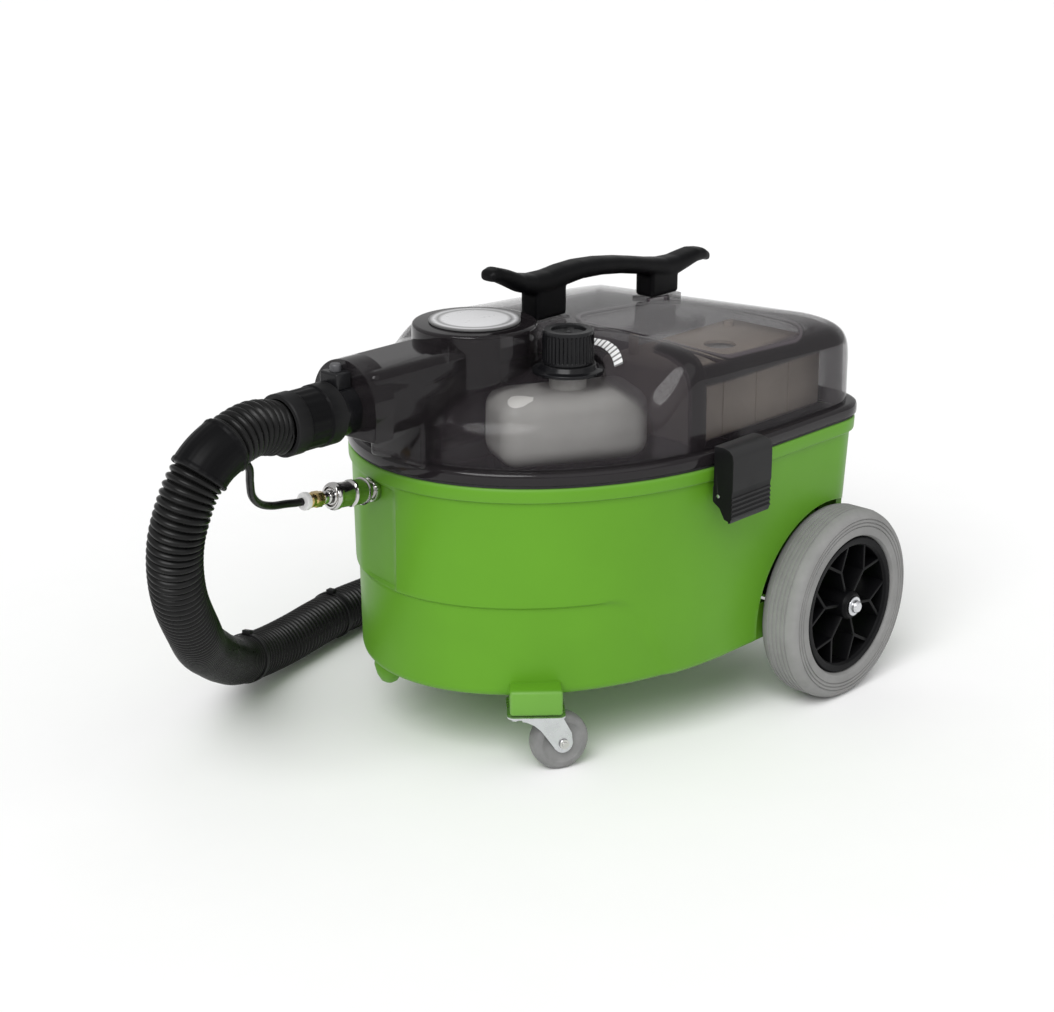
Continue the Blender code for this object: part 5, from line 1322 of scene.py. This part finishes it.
def make_latch(name, side):
    def half_turned(points):
        return [(side * a, b) for a, b in points]

    face = mm((208.3, 304.2), (226.2, 304.2), (226.2, 244), (226.6, 238.4), (228.8, 238.8))
    for rib in range(5):
        z = 0.2425 + 0.0046 * rib
        face += [(0.2300, z), (0.2309, z + 0.0010), (0.2309, z + 0.0022), (0.2300, z + 0.0032)]
    face += mm((230.4, 268), (231.2, 271), (231.2, 300), (230, 306), (226.2, 309.8), (220, 311.3),
               (208.3, 311.3))
    bm = slab(bmesh.new(), half_turned(face), LATCH_X - 0.030, LATCH_X + 0.030, "YZ", 0.0)
    lever = finish_mesh(name + "_latch_lever_moulded", bm, LATCH_BLACK)
    for end in (-1, 1):
        x0, x1 = sorted((LATCH_X + end * 0.030, LATCH_X + end * 0.027))
        ear = mm((208.3, 306), (208.3, 256), (216, 251), (222, 241), (229, 239.5), (229, 306))
        ear_bm = slab(bmesh.new(), half_turned(ear), x0, x1, "YZ", 0.0)
        join(lever, finish_mesh("ear", ear_bm, LATCH_BLACK))
        bore = lathe("bore", [(0.00212, -0.01), (0.00212, 0.01)], LATCH_BLACK,
                     (LATCH_X + end * 0.0285, side * LATCH_PIN_Y, LATCH_Z), (1, 0, 0), 32)
        cut(lever, bore)
    dress(lever, LATCH_BLACK)
    soften(lever, 0.0012, 3, 50)
    stand_in(sharpen(lever), name + "_latch_lever", name + "_latch")

    low, high = sorted((side * 0.2038, side * 0.2185))
    bracket = block_piece(name + "_latch_bracket_moulded", (LATCH_X - 0.0264, low, 0.2536),
                          (LATCH_X + 0.0264, high, 0.2709), LATCH_BLACK, 0.002, 3)
    cut(bracket, lathe("bore", [(0.0023, -0.06), (0.0023, 0.06)], LATCH_BLACK,
                           (LATCH_X, side * LATCH_PIN_Y, LATCH_Z), (1, 0, 0), 32))
    for x in (-0.014, 0.014):
        cut(bracket, block_piece("slot", (LATCH_X + x - 0.009, side * 0.2165 - 0.003, 0.245),
                                     (LATCH_X + x + 0.009, side * 0.2165 + 0.003, 0.2575), LATCH_BLACK, 0.0))
    stand_in(sharpen(bracket), name + "_latch_bracket", "base")
    pin = rounded(mm((0, -29.5), (2, -29.5), (2, 29.5), (0, 29.5)), 0.0004)
    rod = lathe(name + "_latch_pin_turned", pin, ZINC, (LATCH_X, side * LATCH_PIN_Y, LATCH_Z), (1, 0, 0), 32,
                body="base")
    stand_in(rod, name + "_latch_pin")


for latch_name, latch_side in SIDES.items():
    make_latch(latch_name, latch_side)


# ================================================================ coupler and the thin hose's end
def make_coupling():
    base, axis = COUPLER_PLACE, COUPLER_AXIS

    body = mm((0, -9.8), (8.3, -9.8), (8.3, 0), (11.8, 0.4), (12.4, 1.2), (12.4, 5), (11.8, 6), (9.3, 6.2),
              (9.3, 54), (7.5, 56), (6.8, 56), (6.6, 54.8), (0, 54.8))
    piece = lathe("coupler_body_turned", body, CHROME, base, axis, 120, flutes(0.0005, 30, 0.0115),
                  body="base")
    stand_in(piece, "coupler_body")

    sleeve = mm((9.7, 0), (13, 0.3), (13.5, 1), (13.5, 2.4), (12.2, 3), (12.2, 14.4), (12.2, 15),
                (13.2, 15.6), (13.2, 17.6), (12.2, 18.4), (10.8, 19.2), (10.8, 20.6), (12.2, 21.4),
                (12.2, 34.5), (13, 35.2), (13.4, 37), (13.4, 40), (12.6, 41.8), (11.2, 42.9), (9.8, 43))
    piece = lathe("coupler_sleeve_knurled", sleeve, CHROME, base + axis * 0.0130, axis, 144,
                  flutes(0.0005, 36, 0.0115, 0.0031, 0.0145), ring=True, body="sleeve")
    stand_in(piece, "coupler_sleeve")
    along = 0.0563
    plug = rounded(mm((0, 0), (6, 0), (6.5, 0.6), (6.5, 3.5), (5.7, 4.2), (5.7, 5.5), (6.5, 6.2), (6.5, 10.8),
                      (0, 10.8)), 0.0003)
    piece = lathe("hose_plug_turned", plug, CHROME, base + axis * along, axis, 48, body="base")
    stand_in(piece, "hose_plug")
    along += 0.0113

    def hexed(angle, radius, height):
        if 0.0006 < height < 0.0100:
            return radius * math.cos(math.pi / 6) / math.cos((angle % (math.pi / 3)) - math.pi / 6) * 0.995
        return radius
    nut = mm((0, 0), (7, 0), (7.8, 0.9), (8.1, 1.6), (8.1, 8.8), (7.8, 9.9), (6.9, 10.6), (6.9, 12),
             (7.3, 12.8), (7.3, 15.2), (6.6, 16.7), (0, 16.8))
    piece = lathe("hose_nut_brass", nut, BRASS, base + axis * along, axis, 96, hexed, body="base")
    stand_in(piece, "hose_nut")
    along += 0.0173
    ferrule = rounded(mm((0, 0), (8.6, 0), (8.6, 4.6), (7.8, 5.8), (0, 5.8)), 0.0008)
    piece = lathe("hose_ferrule_moulded", ferrule, WHITE, base + axis * along, axis, 48, body="base")
    stand_in(piece, "hose_ferrule")
    return piece


make_coupling()


# ================================================================ the back
def make_back():
    face = TUB_REAR_X - BAND_STEP + GAP
    bm = slab(bmesh.new(), rounded_rectangle(0.0, SWITCH_Z, 0.0598, 0.0418, 0.008), face, face + 0.0031, "YZ",
              0.0008, 2)
    panel = finish_mesh("control_panel_plate", bm, BLACK)
    for y in SWITCH_YS:
        rim_bm = slab(bmesh.new(), rounded_rectangle(y, SWITCH_Z, 0.0145, 0.0185, 0.003),
                      face + 0.001, face + 0.0046, "YZ", 0.0008, 2)
        join(panel, finish_mesh("rim", rim_bm, BLACK))
        cut(panel, block_piece("hole", (face - 0.01, y - 0.0114, 0.2046), (face + 0.01, y + 0.0114, 0.2354),
                               BLACK, 0.0))
    for y in (-0.052, 0.052):
        for z in (0.186, 0.254):
            screw = rounded(mm((0, 0), (3.4, 0), (3.2, 1.2), (0, 1.8)), 0.0004)
            join(panel, lathe("screw", screw, BLACK, (face + 0.0028, y, z), (1, 0, 0), 24))
    stand_in(sharpen(panel), "control_panel", "base")

    outline = rounded_rectangle(0.0, 0.112, 0.0498, 0.0228, 0.005)
    grille = finish_mesh("exhaust_grille_plate", slab(bmesh.new(), outline, face, face + 0.0031, "YZ", 0.0008,
                                                      2), BLACK)
    for z in GRILLE_ZS:
        for part in range(4):
            y = -0.0323 + 0.0215 * part
            cut(grille, block_piece("slot", (face - 0.01, y - 0.0090, z - 0.0028),
                                    (face + 0.01, y + 0.0090, z + 0.0028), BLACK, 0.0))
    stand_in(sharpen(grille), "exhaust_grille", "base")

    gland = mm((3.6, -9.8), (7.9, -9.8), (7.9, 0), (11.8, 0.2), (12.5, 1), (12.5, 4.2), (11.6, 5), (9.8, 5.6))
    for ring in range(5):
        z = 0.0070 + ring * 0.0034
        r = 0.0092 - ring * 0.0008
        gland += [(r, z), (r, z + 0.0018), (r - 0.0012, z + 0.0021), (r - 0.0012, z + 0.0031)]
    gland += [(0.0054, 0.0240), (0.0036, 0.0240)]
    piece = lathe("cord_inlet_sleeve", gland, BLACK, (face, 0, CORD_INLET_Z), (1, 0, 0), 48, ring=True,
                  body="base")
    stand_in(piece, "cord_inlet")


def rounded_rectangle(cy, cz, half_y, half_z, radius, steps=6):
    points = []
    for sy, sz, start in ((1, 1, 0), (-1, 1, 90), (-1, -1, 180), (1, -1, 270)):
        points += arc(cy + sy * (half_y - radius), cz + sz * (half_z - radius), radius,
                      [start + 90 * step / steps for step in range(steps + 1)])
    return points


make_back()


# ================================================================ what stays from the CAD
def finish_cad_nodes():
    """The inner pieces keep their CAD shape, with softened edges and their own material."""
    looks = {"lid_seal": RUBBER, "recovery_tank": TANK, "solution_tank": MILKY, "vacuum_motor": ZINC,
             "motor_seal": RUBBER, "motor_deck": TANK, "pump": GREY, "suction_filter": WHITE,
             "pressure_tube": HOSE, "rear_axle": ZINC, "float_cage": WHITE, "float_ball": WHITE,
             "vacuum_switch": GLOSS_BLACK, "pump_switch": GLOSS_BLACK}
    for name, material in looks.items():
        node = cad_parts[name]
        dress(node, material)
        soften(node, 0.0008, 2, 40)


# ================================================================ light and floor
def make_stage():
    bm = bmesh.new()
    bmesh.ops.create_grid(bm, x_segments=2, y_segments=2, size=40)
    floor = finish_mesh("studio_floor", bm, plastic("floor_paint", (0.93, 0.93, 0.93), rough=(0.75, 0.85),
                                                    vary=0.004, shine=0.1))
    world = bpy.data.worlds.new("studio")
    world.use_nodes = True
    world.node_tree.nodes["Background"].inputs["Color"].default_value = (1, 1, 1, 1)
    world.node_tree.nodes["Background"].inputs["Strength"].default_value = 0.55
    bpy.context.scene.world = world
    for name, place, power, spread in (("key", (-2.3, -0.9, 2.4), 2.15, 38.0),
                                       ("fill", (-0.6, -2.4, 2.0), 0.45, 60.0)):
        light = bpy.data.lights.new(name, "SUN")
        light.energy = power
        light.angle = math.radians(spread)
        lamp = bpy.data.objects.new(name, light)
        lamp.location = place
        lamp.rotation_mode = "QUATERNION"
        lamp.rotation_quaternion = (-Vector(place)).to_track_quat("-Z", "Y")
        bpy.context.scene.collection.objects.link(lamp)
    bpy.context.scene.view_settings.view_transform = "Standard"


make_stage()
finish_cad_nodes()
tuple(solution_line[0] + SHIFT)
[tuple(p + SHIFT) for p in solution_line]
solution_line[0] + SHIFT
solution_line[-1] + SHIFT
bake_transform(solution_tube)
